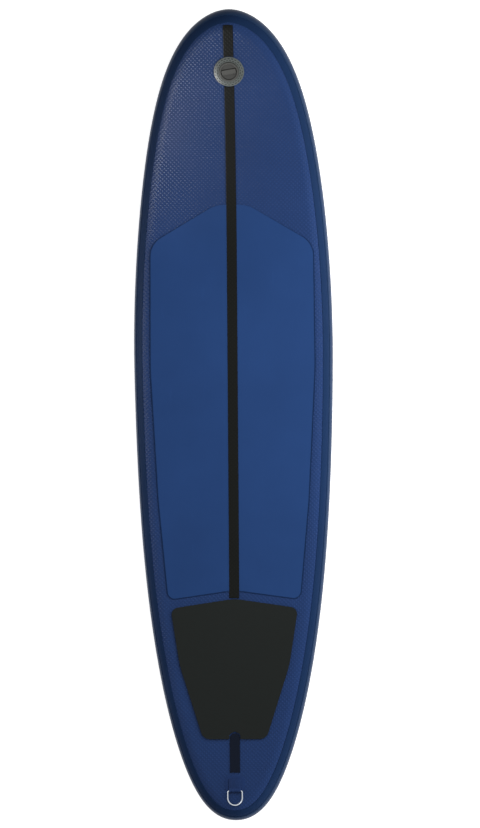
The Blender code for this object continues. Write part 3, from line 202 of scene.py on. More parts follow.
def tidy_mesh(mesh):
    """Merges points that share a place, drops faces that shrank to nothing, and shades the rest smooth
    but for sharp edges."""
    bm = bmesh.new()
    bm.from_mesh(mesh)
    bmesh.ops.remove_doubles(bm, verts=bm.verts, dist=2e-6)
    bmesh.ops.dissolve_degenerate(bm, edges=bm.edges, dist=1e-6)
    bm.to_mesh(mesh)
    bm.free()
    mesh.shade_smooth()
    mesh.set_sharp_from_angle(angle=math.radians(35))
    mesh.update()


def thicken(piece, thickness, edge=0.0):
    """Gives an open surface its thickness inwards, with its rim rounded where an edge is given."""
    shell = piece.modifiers.new("thickness", "SOLIDIFY")
    shell.thickness, shell.offset = thickness, -1.0
    if edge:
        rim = piece.modifiers.new("rim", "BEVEL")
        rim.width, rim.segments, rim.limit_method, rim.angle_limit = edge, 2, "ANGLE", math.radians(50)
    return piece


def fit(piece, body, look, slot, *nodes):
    """Puts a finished piece on its body, in its material, in place of its CAD nodes."""
    piece.data.materials.clear()
    piece.data.materials.append(look)
    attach(piece, body)
    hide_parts(*nodes)


def node_group(name, inputs, outputs):
    """A shader group with float or colour inputs, and the tree to fill."""
    tree = bpy.data.node_groups.new(name, "ShaderNodeTree")
    for label, value in inputs.items():
        kind = "NodeSocketVector" if label == "Place" else "NodeSocketFloat"
        kind = "NodeSocketColor" if isinstance(value, tuple) else kind
        socket = tree.interface.new_socket(label, in_out="INPUT", socket_type=kind)
        if label != "Place":
            socket.default_value = (*value, 1.0) if isinstance(value, tuple) else value
    for label in outputs:
        kind = "NodeSocketColor" if label == "Colour" else "NodeSocketFloat"
        tree.interface.new_socket(label, in_out="OUTPUT", socket_type=kind)
    return tree, tree.nodes.new("NodeGroupInput"), tree.nodes.new("NodeGroupOutput")


def node(tree, kind, inputs=(), **settings):
    """A node with its settings made. Each input is a value or an output of another node."""
    made = tree.nodes.new(f"ShaderNode{kind}")
    for key, value in settings.items():
        setattr(made, key, value)
    for key, value in dict(inputs).items():
        socket = made.inputs[key]
        if isinstance(value, bpy.types.NodeSocket):
            tree.links.new(value, socket)
        else:
            socket.default_value = value
    return made


def maths(tree, operation, first, second=0.0):
    """The result of one Math node."""
    return node(tree, "Math", {0: first, 1: second}, operation=operation).outputs[0]


def scaled(tree, colour, share):
    """A colour made lighter or darker by a factor."""
    return node(tree, "VectorMath", {0: colour, "Scale": share}, operation="SCALE").outputs[0]


def noise(tree, place, scale, detail, roughness=0.5):
    """Noise between 0 and 1, with more or less fine detail in it."""
    inputs = {"Vector": place, "Scale": scale, "Detail": detail, "Roughness": roughness}
    return node(tree, "TexNoise", inputs).outputs[0]


def make_emboss():
    """Height of the diamond emboss: (cos pi u)^2 (cos pi v)^2, with u and v the two diagonals over the
    pitch, which gives staggered round bumps between crossing grooves."""
    tree, taken, given = node_group("diamond emboss", {"Place": 0.0, "Pitch": 0.0124}, ["Height"])
    parts = node(tree, "SeparateXYZ", {0: taken.outputs["Place"]}).outputs
    waves = []
    for operation in ("ADD", "SUBTRACT"):
        diagonal = maths(tree, "DIVIDE", maths(tree, operation, parts[0], parts[1]), taken.outputs["Pitch"])
        wave = maths(tree, "COSINE", maths(tree, "MULTIPLY", diagonal, math.pi))
        waves.append(maths(tree, "MULTIPLY", wave, wave))
    tree.links.new(maths(tree, "MULTIPLY", *waves), given.inputs["Height"])
    return tree


def make_grain():
    """Fine grain, slow unevenness and faint scuffs of calendered vinyl and moulded plastic."""
    inputs = {"Place": 0.0, "Grain": 900.0, "Cloud": 5.0, "Cloud Depth": 0.10, "Colour": (0.5, 0.5, 0.5)}
    tree, taken, given = node_group("vinyl grain", inputs, ["Colour", "Height", "Rough"])
    place = taken.outputs["Place"]
    fine = noise(tree, place, taken.outputs["Grain"], 3.0)
    cloud = noise(tree, place, taken.outputs["Cloud"], 4.0)
    stretched = node(tree, "Mapping", {"Vector": place, "Scale": (60.0, 9.0, 60.0)}).outputs[0]
    scuff = noise(tree, stretched, 1.0, 5.0, 0.7)
    scuffed = node(tree, "MapRange", {0: scuff, 1: 0.60, 2: 0.78, 3: 0.0, 4: 1.0}).outputs[0]
    swing = maths(tree, "MULTIPLY", maths(tree, "SUBTRACT", cloud, 0.5), taken.outputs["Cloud Depth"])
    light = maths(tree, "ADD", maths(tree, "ADD", 1.0, maths(tree, "MULTIPLY", swing, 2.0)),
                  maths(tree, "MULTIPLY", scuffed, 0.10))
    tree.links.new(scaled(tree, taken.outputs["Colour"], light), given.inputs["Colour"])
    tree.links.new(fine, given.inputs["Height"])
    rough = maths(tree, "ADD", maths(tree, "MULTIPLY", maths(tree, "SUBTRACT", cloud, 0.5), 0.15),
                  maths(tree, "MULTIPLY", scuffed, 0.08))
    tree.links.new(rough, given.inputs["Rough"])
    return tree


EMBOSS = make_emboss()
GRAIN = make_grain()


def new_material(name):
    """An empty node material, with its tree, its Principled shader and Object coordinates."""
    look = bpy.data.materials.new(name)
    look.use_nodes = True
    tree = look.node_tree
    place = node(tree, "TexCoord").outputs["Object"]
    return look, tree, tree.nodes["Principled BSDF"], place


def place_group(tree, group, inputs):
    """A group in a material, with its own values."""
    made = tree.nodes.new("ShaderNodeGroup")
    made.node_tree = group
    for key, value in inputs.items():
        if isinstance(value, bpy.types.NodeSocket):
            tree.links.new(value, made.inputs[key])
        else:
            made.inputs[key].default_value = (*value, 1.0) if isinstance(value, tuple) else value
    return made.outputs


def bump(tree, height, strength, distance, under=None):
    """The normal of a Bump node, on top of another where one is given."""
    inputs = {"Height": height, "Strength": strength, "Distance": distance}
    if under is not None:
        inputs["Normal"] = under
    return node(tree, "Bump", inputs).outputs[0]


def shaded(tree, colour):
    """A colour darkened by painted shade, held in the mesh's own shade attribute."""
    return scaled(tree, colour, node(tree, "Attribute", attribute_name="painted_shade").outputs["Fac"])


def finish(tree, shader, colour, rough, normal, specular):
    """Joins the parts of a finish to its shader."""
    tree.links.new(colour, shader.inputs["Base Color"])
    tree.links.new(rough, shader.inputs["Roughness"])
    tree.links.new(normal, shader.inputs["Normal"])
    shader.inputs["Specular IOR Level"].default_value = specular


def vinyl(name, colour, roughness, specular, depth=0.00006, cloud=0.10, emboss=0.0, edged=False):
    """Coated vinyl: fine grain, slow change of tone, faint scuffs and, where asked, the emboss with painted
    shade in its grooves. An edged one has painted shade along its rim, from its piece's shade attribute."""
    look, tree, shader, place = new_material(name)
    inputs = {"Place": place, "Grain": 900.0, "Cloud Depth": cloud, "Colour": colour}
    grained = place_group(tree, GRAIN, inputs)
    shade = grained["Colour"]
    normal = bump(tree, grained["Height"], 0.5, depth)
    if emboss:
        raised = place_group(tree, EMBOSS, {"Place": place})["Height"]
        normal = bump(tree, raised, 1.0, emboss, normal)
        # painted shade: the emboss's grooves are darker in colour and its bumps lighter
        painted_emboss_shade = maths(tree, "ADD", 0.92, maths(tree, "MULTIPLY", raised, 0.20))
        shade = scaled(tree, shade, painted_emboss_shade)
    shade = shaded(tree, shade) if edged else shade
    finish(tree, shader, shade, maths(tree, "ADD", roughness, grained["Rough"]), normal, specular)
    return look


VALVE_STATION = 1.044
VALVE_HOLE = 0.030


def cut_valve_hole(piece):
    """Takes away the faces of a sheet that come within the hole's radius of the valve's axis."""
    bm = bmesh.new()
    bm.from_mesh(piece.data)
    middle = on_board(0.0, np.array(VALVE_STATION), HULL_RADIUS)
    near = [v for v in bm.verts if np.linalg.norm(np.array(v.co) - middle) < VALVE_HOLE]
    bmesh.ops.delete(bm, geom=near, context="VERTS")
    bm.to_mesh(piece.data)
    bm.free()


DECK_VINYL = vinyl("embossed deck vinyl", (0.0168, 0.0428, 0.139), 0.32, emboss=0.0007, specular=0.10)
deck_sheet = surface("deck_sheet_cover", wrapped_sheet(HULL_RADIUS, DECK_SHEET_WRAP, 0.0, DECK_COLUMNS))
cut_valve_hole(deck_sheet)
thicken(deck_sheet, SHEET)
fit(deck_sheet, "board", DECK_VINYL, "deck_sheet", "deck_sheet")


# BOTTOM SHEET
# The belly has a sheet of the same navy vinyl without the emboss. It is welded over the chamber's bottom
# skin and wrapped 45 degrees up round the rails.
BELLY_VINYL = vinyl("smooth belly vinyl", (0.018, 0.044, 0.146), 0.44, specular=0.12)
bottom_sheet = surface("bottom_sheet_cover", wrapped_sheet(HULL_RADIUS, 180 - DECK_SHEET_WRAP, 180.0))
thicken(bottom_sheet, SHEET)
fit(bottom_sheet, "board", BELLY_VINYL, "bottom_sheet", "bottom_sheet")


# RAIL BANDS AND SEAM TAPE
# Each side has a band of smoother vinyl glued over the edges of both sheets; its colour, darker than the
# deck's, is painted shade of the curved rail. A narrow tape round the middle of the rail covers the last
# seam.
BAND_RADIUS = 0.0512
BAND_EDGE = 30.0
SEAM_TAPE_EDGE = 58.0
STRIP_ROUND = 0.00035
SIDES = ((1, "right"), (-1, "left"))
# painted shade: the rail vinyl is darker than the deck's for the shade on the rails' sides
RAIL_VINYL = vinyl("smooth rail vinyl", (0.0105, 0.028, 0.080), 0.36, depth=0.00003, specular=0.03)
for side, name in SIDES:
    angles = np.linspace(BAND_EDGE, 180 - BAND_EDGE, 33)
    points = rail(side, BAND_RADIUS, angles)
    band = surface(f"rail_band_{name}_strip", points[:, ::-1] if side < 0 else points)
    thicken(band, SHEET, STRIP_ROUND)
    fit(band, "board", RAIL_VINYL, "rail_band", f"rail_band_{name}")

angles = np.linspace(SEAM_TAPE_EDGE, 180 - SEAM_TAPE_EDGE, 15)
right, left = rail(1, SEAM_TAPE_RADIUS, angles), rail(-1, SEAM_TAPE_RADIUS, angles)
ring = np.concatenate([right, left[-2:0:-1]])
seam_tape = surface("rail_seam_tape_strip", np.concatenate([ring, ring[:1]]))
thicken(seam_tape, SHEET, STRIP_ROUND)
SEAM_VINYL = vinyl("seam tape vinyl", (0.0145, 0.037, 0.094), 0.32, depth=0.00003, specular=0.05)
fit(seam_tape, "board", SEAM_VINYL, "rail_seam_tape", "rail_seam_tape")


# CHAMBER
# Inside, two skins of coated grey cloth are tied 98 mm apart by rows of white yarn and closed round the
# edge by two rail walls. They are glued in layers under the cover sheets.
SKIN_RADIUS = 0.0488
SKIN_WRAP = 67.5
WALL_EDGE = 46.0


def make_weave():
    """Height of a plain weave: the product of two crossing sine waves or half the first, whichever is
    higher."""
    tree, taken, given = node_group("plain weave", {"Place": 0.0, "Threads": 900.0}, ["Height"])
    parts = node(tree, "SeparateXYZ", {0: taken.outputs["Place"]}).outputs
    crests = []
    for part in (parts[0], parts[1]):
        turn = maths(tree, "MULTIPLY", maths(tree, "MULTIPLY", part, taken.outputs["Threads"]), math.tau)
        crests.append(maths(tree, "SINE", turn))
    lower = maths(tree, "MULTIPLY", crests[0], 0.5)
    crossed = maths(tree, "MAXIMUM", maths(tree, "MULTIPLY", *crests), lower)
    tree.links.new(maths(tree, "ADD", maths(tree, "MULTIPLY", crossed, 0.5), 0.5), given.inputs["Height"])
    return tree


WEAVE = make_weave()


def cloth(name, colour, roughness, threads, depth, sheen):
    """Woven cloth: threads in the bump, with painted shade in the hollows between them, and a soft sheen."""
    look, tree, shader, place = new_material(name)
    grained = place_group(tree, GRAIN, {"Place": place, "Cloud Depth": 0.12, "Colour": colour})
    threaded = place_group(tree, WEAVE, {"Place": place, "Threads": threads})["Height"]
    # painted shade: darker in the hollows of the weave and lighter on its crests
    light = maths(tree, "ADD", 0.72, maths(tree, "MULTIPLY", threaded, 0.45))
    shade = scaled(tree, grained["Colour"], light)
    rough = maths(tree, "ADD", roughness, grained["Rough"])
    finish(tree, shader, shade, rough, bump(tree, threaded, 0.8, depth), 0.15)
    shader.inputs["Sheen Weight"].default_value = sheen
    return look


CHAMBER_CLOTH = cloth("coated chamber cloth", (0.40, 0.41, 0.42), 0.75, 700.0, 0.0001, 0.1)
for face, name in ((0.0, "deck"), (180.0, "bottom")):
    cloth_grid = wrapped_sheet(SKIN_RADIUS, abs(face - SKIN_WRAP), face, DECK_COLUMNS)
    skin = surface(f"{name}_skin_cloth", cloth_grid)
    if name == "deck":
        cut_valve_hole(skin)
    fit(thicken(skin, SHEET), "board", CHAMBER_CLOTH, "chamber_cloth", f"{name}_skin")
for side, name in SIDES:
    points = rail(side, HULL_RADIUS, np.linspace(WALL_EDGE, 180 - WALL_EDGE, 25))[1:-1]
    wall = surface(f"rail_wall_{name}_cloth", points[:, ::-1] if side < 0 else points)
    fit(thicken(wall, SHEET), "board", CHAMBER_CLOTH, "chamber_cloth", f"rail_wall_{name}")
YARN = cloth("drop-stitch yarn", (0.72, 0.72, 0.70), 0.9, 1100.0, 0.0002, 0.4)
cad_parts["drop_stitch_yarns"].data.materials[0] = YARN


# CENTRE TAPE
# A black vinyl tape 30 mm wide runs along the middle of the deck: from the nose's curl to the valve,
# from the valve to the pad, and a short length in the pad's notch.
TAPE = 0.0009
TAPE_HALF = 0.015
TAPE_COLUMNS = 13
TAPE_ROUND = 0.0003
TAPE_TOP = HULL_RADIUS + GAP + TAPE
FLANGE_RADIUS = 0.0455
TAPE_NOSE_TURN = 22.0  # round the nose's curl, from the deck's normal
PAD_FRONT = -0.553
TAPE_SHORT = 0.0015  # how far before the pad the tape ends
TAIL_TAPE_FRONT = -0.9595
TAIL_TAPE_BACK = -1.078
TAIL_TAPE_TIP = 0.0015  # half the width of its blunt front
TAPE_VINYL = vinyl(
    "black tape vinyl", (0.0085, 0.0092, 0.0085), 0.42, depth=0.00004, emboss=0.0004, specular=0.06
)
TAIL_TAPE_VINYL = vinyl("black tail tape vinyl", (0.0050, 0.0080, 0.0170), 0.50, depth=0.00004, specular=0.08)


def strip(front, back, rows, across):
    """A strip laid on the deck between two ends, each a y for every place across."""
    share = np.linspace(0, 1, rows)[:, None]
    y = front * (1 - share) + back * share
    return on_board(np.broadcast_to(across, y.shape), y, TAPE_TOP)


def round_end(y, bulge, across):
    """The end of a tape along the valve's flange: y plus a circle's fall at each place across."""
    radius = FLANGE_RADIUS + GAP
    return y + bulge * (radius - np.sqrt(radius**2 - across**2))


def curl(across, turns):
    """The tape's way round the nose: at each turn, the rail's curve is read off at each x."""
    right = rail(1, TAPE_TOP, turns)[: HULL_STEPS // 2]
    rows = []
    for j in range(len(turns)):
        x, y, z = right[:, j].T
        rows.append(np.stack([across, np.interp(abs(across), x, y), np.interp(abs(across), x, z)], axis=-1))
    return np.array(rows)


across = np.linspace(-TAPE_HALF, TAPE_HALF, TAPE_COLUMNS)
reach = FLANGE_RADIUS + 2 * GAP
over_nose = curl(across, np.linspace(TAPE_NOSE_TURN, 0, 12))
curl_end = over_nose[-1][:, 1] + np.sin(rocker(NOSE_PATH_END)[1]) * TAPE_TOP
flat = strip(curl_end, round_end(VALVE_STATION + reach, -1, across), 30, across)
tape_end = np.full(TAPE_COLUMNS, PAD_FRONT + TAPE_SHORT)
centre = strip(round_end(VALVE_STATION - reach, 1, across), tape_end, 220, across)
corner = TAPE_HALF - TAIL_TAPE_TIP
past_tip = np.maximum(abs(across) - TAIL_TAPE_TIP, 0)
front = TAIL_TAPE_FRONT - corner + np.sqrt(np.maximum(corner**2 - past_tip**2, 0))
tail = strip(front, np.full(TAPE_COLUMNS, TAIL_TAPE_BACK), 40, across)
for name, points, look, slot in (
    ("nose", np.concatenate([over_nose, flat[1:]]), TAPE_VINYL, "stringer_tape"),
    ("centre", centre, TAPE_VINYL, "stringer_tape"),
    ("tail", tail, TAIL_TAPE_VINYL, "stringer_tape_tail"),
):
    tape = surface(f"{name}_tape", points[:, ::-1])
    fit(thicken(tape, TAPE, TAPE_ROUND), "board", look, slot, f"stringer_tape_{name}")


# DECK PANEL
# Where the rider lies, two halves of smooth lighter blue vinyl, 1.2 mm thick, are glued on either side
# of the centre tape.
PANEL = 0.0012
PANEL_EDGE = TAPE_HALF + GAP
PANEL_ROUND = 0.0004
# painted shade along the panel's outline, for the shadow of its raised edge
RIM_REACH = 0.0042  # of the dark line along the panel's outline
RIM_FADE = 0.0018
RIM_DARK = 0.62
LINE_SPACING = 0.004
LAID_COLUMNS = 48


def rounded_line(corners):
    """A line through corners of x, y and fillet radius, evenly spaced: each fillet is the arc that
    touches the two sides of its corner."""
    corners = np.array(corners, float)
    points = [corners[:1, :2]]
    for last, here, after in zip(corners[:-2], corners[1:-1], corners[2:]):
        back, on = last[:2] - here[:2], after[:2] - here[:2]
        back, on = back / np.hypot(*back), on / np.hypot(*on)
        half = math.acos(np.clip(back @ on, -1, 1)) / 2
        reach = here[2] / math.tan(half)
        centre = here[:2] + (back + on) / np.hypot(*(back + on)) * here[2] / math.sin(half)
        first, final = here[:2] + back * reach - centre, here[:2] + on * reach - centre
        sweep = math.atan2(first[0] * final[1] - first[1] * final[0], first @ final)
        turns = np.linspace(0, sweep, 13)[:, None]
        points.append(centre + first * np.cos(turns) + np.array([-first[1], first[0]]) * np.sin(turns))
    points = np.concatenate([*points, corners[-1:, :2]])
    run = np.concatenate([[0], np.cumsum(np.hypot(*np.diff(points, axis=0).T))])
    even = np.linspace(0, run[-1], int(run[-1] / LINE_SPACING))
    places = np.unique(np.concatenate([even, run]).round(5))
    return np.stack([np.interp(places, run, points[:, k]) for k in (0, 1)], axis=-1)


def laid_between(inner, outer, height):
    """A grid laid on the deck between two lines that both run down the board: its rows go straight
    across at every y that either line has, and its columns are closest near the two lines."""
    y = np.unique(np.concatenate([inner[:, 1], outer[:, 1]]).round(5))[::-1]
    left, right = (np.interp(-y, -line[:, 1], line[:, 0]) for line in (inner, outer))
    share = np.linspace(0, 1, LAID_COLUMNS)
    share = share - 0.85 * np.sin(2 * math.pi * share) / (2 * math.pi)
    x = left[:, None] * (1 - share) + right[:, None] * share
    return on_board(x, y[:, None], height)


def mirrored(points):
    """The same grid on the left, with its columns turned round so that it still faces outwards."""
    return points[:, ::-1] * np.array([-1.0, 1.0, 1.0])


def shade_points(piece, shade):
    """Holds the painted shade that the function shade gives each point in the attribute that darkens a
    finish.
    """
    points = np.empty(len(piece.data.vertices) * 3)
    piece.data.vertices.foreach_get("co", points)
    layer = piece.data.attributes.new("painted_shade", "FLOAT", "POINT")
    layer.data.foreach_set("value", shade(points.reshape(-1, 3)).astype(np.float32))


PANEL_VINYL = vinyl(
    "smooth panel vinyl", (0.0196, 0.0550, 0.174), 0.50, cloud=0.14, depth=0.00003, specular=0.05, edged=True
)
top, foot = 0.636, -0.530 - 0.019 / 0.201 * PANEL_EDGE
outline = rounded_line([
    (PANEL_EDGE, top, 0), (0.048, top, 0.100), (0.248, 0.5175, 0.070), (0.250, 0.140, 0.800),
    (0.229, -0.256, 0.800), (0.201, -0.5576, 0.024), (PANEL_EDGE, foot, 0),
])
low = np.argmin(outline[:, 1])
inner = np.concatenate([[(PANEL_EDGE, top)], outline[: low - 1 : -1]])
right_half = laid_between(inner, outline[: low + 1], HULL_RADIUS + GAP + PANEL)


def painted_rim_shade(points):
    """Painted shade: dark in the 4 mm along the panel's outline, standing in for the shadow of its raised
    edge.
    """
    knots = outline[::2]
    along = np.diff(knots, axis=0)
    gap = np.stack([abs(points[:, 0]), points[:, 1]], axis=-1)[:, None] - knots[:-1]
    share = np.clip((gap * along).sum(axis=-1) / (along**2).sum(axis=-1), 0, 1)
    away = np.linalg.norm(gap - share[..., None] * along, axis=-1).min(axis=1)
    return 1.0 - RIM_DARK * np.clip((RIM_REACH - away) / RIM_FADE, 0, 1)


for name, points in (("right", right_half), ("left", mirrored(right_half))):
    half = surface(f"deck_panel_{name}_sheet", points)
    # painted shade: a shadow line along the panel's outline
    shade_points(half, painted_rim_shade)
    fit(thicken(half, PANEL, PANEL_ROUND), "board", PANEL_VINYL, "deck_panel", f"deck_panel_{name}")


# TAIL PAD
# Behind the panel is a foot pad cut from 4 mm black foam, with its edges rounded and a pointed notch in
# its back for the tape.
PAD = 0.004
PAD_ROUND = 0.0012
PAD_BACK = -0.977
side = rounded_line([
    (0, PAD_FRONT, 0), (0.192, -0.582, 0.022), (0.165, -0.755, 0.300), (0.095, PAD_BACK, 0.028),
    (0.0195, PAD_BACK, 0),
])
side[:, 1] -= 0.0010 * np.maximum(1 - side[:, 0] / 0.030, 0) ** 2 * (side[:, 1] > -0.6)  # its blunt point
low = np.argmax(side[:, 1] <= side[:, 1].min() + 1e-6)
notch = rounded_line([
    (0, -0.9535, 0), (0.0165, -0.9620, 0.010), (0.0165, PAD_BACK, 0.003), (0.030, PAD_BACK, 0),
])
notch = notch[: np.argmax(notch[:, 1] <= PAD_BACK + 1e-6) + 1]
inner = np.concatenate([[(0, side[0, 1])], notch])
right_half = laid_between(inner, side[: low + 1], HULL_RADIUS + GAP + PAD)
pad = surface("tail_pad_foam", right_half, mirrored(right_half))


def foam(name, colour):
    """Closed-cell foam: pores of two sizes in the bump, and a slow change of shade."""
    look, tree, shader, place = new_material(name)
    grained = place_group(tree, GRAIN, {"Place": place, "Grain": 520.0, "Cloud": 9.0, "Colour": colour})
    pores = node(tree, "TexVoronoi", {"Vector": place, "Scale": 900.0}).outputs[0]
    normal = bump(tree, pores, 0.5, 0.0003, bump(tree, grained["Height"], 0.6, 0.0002))
    finish(tree, shader, grained["Colour"], maths(tree, "ADD", 0.85, grained["Rough"]), normal, 0.12)
    return look


FOAM = foam("black pad foam", (0.0160, 0.0185, 0.0175))
fit(thicken(pad, PAD, PAD_ROUND), "board", FOAM, "tail_pad", "tail_pad")


# INFLATION VALVE
# A moulded grey flange with two rows of grip slots and a barrel through the deck skin. A gasket and a
# ring nut clamp it, a sprung stem shuts it, and a screw cap with a sunken grip bar covers it.
FLANGE_SLOTS = 24
FLANGE_STEPS = FLANGE_SLOTS * 30
FACE_RADII = (0.0315, 0.0375, 0.0447)
FACE_HEIGHTS = (0.0052, 0.00467, 0.0032)
SLOT_ROWS = (0.0405, 0.0345)
SLOT_STRAIGHT = 0.0019  # half of a slot's straight part
SLOT_HALF = 0.00125
SLOT_DEPTH = 0.0010
SLOT_WALL = 0.0003
CAP_STEPS = 300
CAP_FLOOR = 0.0047  # of the cap's recess
CAP_DEPTH = 0.0040
CAP_RECESS = 0.0232
CAP_WALL = 0.0014
CAP_SUNK = 0.0062  # a point of the cap's top below it is in the recess
GRIP_TURN = 10.0
GRIP_STRAIGHT = (0.0190, 0.0050)  # half of the grip bar's straight sides
GRIP_CORNER = 0.0035


def frame_at(x, y, height, down=False, toe=0.0):
    """Where a fitting sits: its Y along the hull and its Z square to it, out of the deck or the belly."""
    lean = float(rocker(np.array(y))[1])
    facing = Matrix.Translation(on_board(x, np.array(y), 0.0)) @ Matrix.Rotation(lean, 4, "X")
    if down:
        facing = facing @ Matrix.Rotation(math.pi, 4, "Y")
    return facing @ Matrix.Translation((0, 0, height)) @ Matrix.Rotation(math.radians(toe), 4, "Z")


def placed(points, matrix):
    """The same points in the frame of a matrix."""
    turn = np.array(matrix)
    return points @ turn[:3, :3].T + turn[:3, 3]


def turned(profile, steps):
    """A grid swept round Z from a profile of radius and height in millimetres."""
    turns = np.linspace(0, math.tau, steps, endpoint=False)
    r, z = np.array(profile, float).T[:, :, None] / 1000
    return np.stack([r * np.cos(turns), r * np.sin(turns), z + 0 * turns], axis=-1)


def capped(points):
    """A grid closed at both ends by a row at the middle of its first and last rows."""
    first, last = (np.broadcast_to(row.mean(axis=0), row.shape)[None] for row in (points[0], points[-1]))
    return np.concatenate([first, points, last])


def oblong(width, length, corner, steps=8):
    """Points round a rectangle with round corners, anticlockwise from its right side."""
    turns = np.linspace(0, math.pi / 2, steps)
    rounds = []
    for k, (sx, sy) in enumerate(((1, 1), (-1, 1), (-1, -1), (1, -1))):
        centre = sx * (width / 2 - corner), sy * (length / 2 - corner)
        turn = turns + k * math.pi / 2
        rounds.append(centre + corner * np.stack([np.cos(turn), np.sin(turn)], axis=-1))
    return np.concatenate(rounds)


def slab(width, length, corner, foot, top, edge, middle=0.0):
    """An upright slab with a round-cornered outline and a quarter round on its upper rim."""
    rows = []
    for turn in np.linspace(math.pi / 2, 0, 5):
        inset = edge * (1 - math.cos(turn))
        outline = oblong(width - 2 * inset, length - 2 * inset, max(corner - inset, 1e-4))
        rows.append(np.insert(outline + (0, middle), 2, top - edge * (1 - math.sin(turn)), axis=1))
    rows.append(np.insert(oblong(width, length, corner) + (0, middle), 2, foot, axis=1))
    return capped(np.array(rows))


def flange_top():
    """The flange's upper face: a shallow cone from the raised ring to the rim, with two rows of slots
    sunk into it, the second half a pitch on from the first."""
    r = np.linspace(0.0316, FACE_RADII[-1], 62)[:, None]
    turn = np.linspace(0, math.tau, FLANGE_STEPS, endpoint=False)[None]
    z = np.interp(r, FACE_RADII, FACE_HEIGHTS)
    pitch = math.tau / FLANGE_SLOTS
    for k, radius in enumerate(SLOT_ROWS):
        swing = (turn / pitch + 0.5 * k + 0.5) % 1 - 0.5
        reach = np.maximum(abs(swing) * pitch * radius - SLOT_STRAIGHT, 0)
        inside = np.clip((SLOT_HALF - np.hypot(reach, r - radius)) / SLOT_WALL, 0, 1)
        z = z - SLOT_DEPTH * inside**2 * (3 - 2 * inside)
    return np.stack([r * np.cos(turn), r * np.sin(turn), z], axis=-1)


def plastic(name, colour, roughness, wear=0.12, specular=0.4, grooved=False):
    """Moulded plastic: fine grain, handling scuffs and a slightly uneven gloss. A grooved one has painted
    shade in its grooves and recesses, from its piece's shade attribute."""
    look, tree, shader, place = new_material(name)
    inputs = {"Place": place, "Grain": 1400.0, "Cloud": 30.0, "Cloud Depth": wear, "Colour": colour}
    grained = place_group(tree, GRAIN, inputs)
    shade = shaded(tree, grained["Colour"]) if grooved else grained["Colour"]
    rough = maths(tree, "ADD", roughness, grained["Rough"])
    finish(tree, shader, shade, rough, bump(tree, grained["Height"], 0.4, 0.00004), specular)
    return look


valve_seat = frame_at(0.0, VALVE_STATION, HULL_RADIUS)
VALVE_PLASTIC = plastic("grey valve plastic", (0.100, 0.115, 0.109), 0.40, specular=0.24, grooved=True)
face = flange_top()
barrel = turned([
    (44.7, 3.2), (45.25, 2.95), (45.5, 2.4), (45.5, 1.75), (45.3, 1.6), (25.5, 1.6), (25.5, -26.7),
    (25.2, -27), (16.8, -27), (16.5, -26.7), (16.5, -25.7), (16.8, -25.4), (21.5, -24), (21.5, 2.1),
    (21.8, 2.4), (29.6, 2.4), (29.9, 2.7), (29.9, 4.9), (30.2, 5.2), (31.3, 5.2), (31.6, 5.19),
], FLANGE_STEPS)
hub = turned([(2.9, -16), (5.2, -16), (5.5, -16.3), (5.5, -20.7), (5.2, -21), (2.9, -21), (2.9, -16)], 48)
spokes = []
for angle in (45, 135):
    for end in (1, -1):
        arm = slab(0.0175, 0.0024, 0.0006, -0.0205, -0.0165, 0.0005)
        arm[..., 0] += end * 0.0135
        spokes.append(placed(arm, Matrix.Rotation(math.radians(angle), 4, "Z")))
grids = [placed(part, valve_seat) for part in (face[::-1], barrel, hub, *spokes)]
shell = surface("valve_body_moulding", *grids, loop=True)


def painted_flange_shade(local):
    """Painted shade: dark where the flange's face lies below its cone, in the slots, and in the ledge under
    the cap.
    """
    r, z = np.hypot(local[:, 0], local[:, 1]), local[:, 2]
    cone = np.interp(r, FACE_RADII, FACE_HEIGHTS)
    sunk = np.clip((cone - z) / 0.0009, 0, 1) * (r > FACE_RADII[0]) * (r < FACE_RADII[-1]) * (z > 0)
    return 1.0 - 0.88 * sunk - 0.6 * (abs(r - 0.0299) < 0.0005) * (z > 0)


# painted shade in the flange's slots and under the cap
shade_points(shell, lambda points: painted_flange_shade(placed(points, valve_seat.inverted())))
fit(shell, "board", VALVE_PLASTIC, "valve_body", "valve_body")


def grip_reach(x, y):
    """How far a place on the cap lies outside the grip bar, a rounded oblong 45 by 17 mm turned 10
    degrees; inside the bar it is negative."""
    lean = math.radians(GRIP_TURN)
    along, across = x * math.cos(lean) + y * math.sin(lean), y * math.cos(lean) - x * math.sin(lean)
    past_end = np.maximum(abs(along) - GRIP_STRAIGHT[0], 0)
    past_side = np.maximum(abs(across) - GRIP_STRAIGHT[1], 0)
    return np.hypot(past_end, past_side) - GRIP_CORNER


def cap_top():
    """The cap's upper face: a flat rim, a round recess 4 mm deep, and in it the grip bar, a rounded
    oblong that rises nearly to the rim's height."""
    r = np.concatenate([np.linspace(0, 0.0235, 60), np.linspace(0.0237, 0.0285, 22)])[:, None]
    turn = np.linspace(0, math.tau, CAP_STEPS, endpoint=False)[None]
    x, y = r * np.cos(turn), r * np.sin(turn)
    bar = np.clip(-grip_reach(x, y) / CAP_WALL, 0, 1)
    rim = np.clip((r - CAP_RECESS) / CAP_WALL, 0, 1) + 0 * turn
    rise = np.maximum(bar**2 * (3 - 2 * bar) * 0.94, rim**2 * (3 - 2 * rim))
    return np.stack([x, y, CAP_FLOOR + CAP_DEPTH * rise], axis=-1)


CAP_PLASTIC = plastic("dark cap plastic", (0.071, 0.071, 0.066), 0.34, specular=0.25, grooved=True)
under_cap = turned([
    (28.5, 8.7), (28.9, 8.62), (29.3, 8.3), (29.5, 7.8), (29.5, 4.4), (29.3, 4.2), (21.1, 4.2), (21.1, -3.1),
    (20.9, -3.3), (18.5, -3.3), (18.3, -3.1), (18.3, 2.7), (0, 2.7),
], CAP_STEPS)
cap = surface("valve_cap_moulding", placed(np.concatenate([cap_top(), under_cap[1:]]), valve_seat), loop=True)


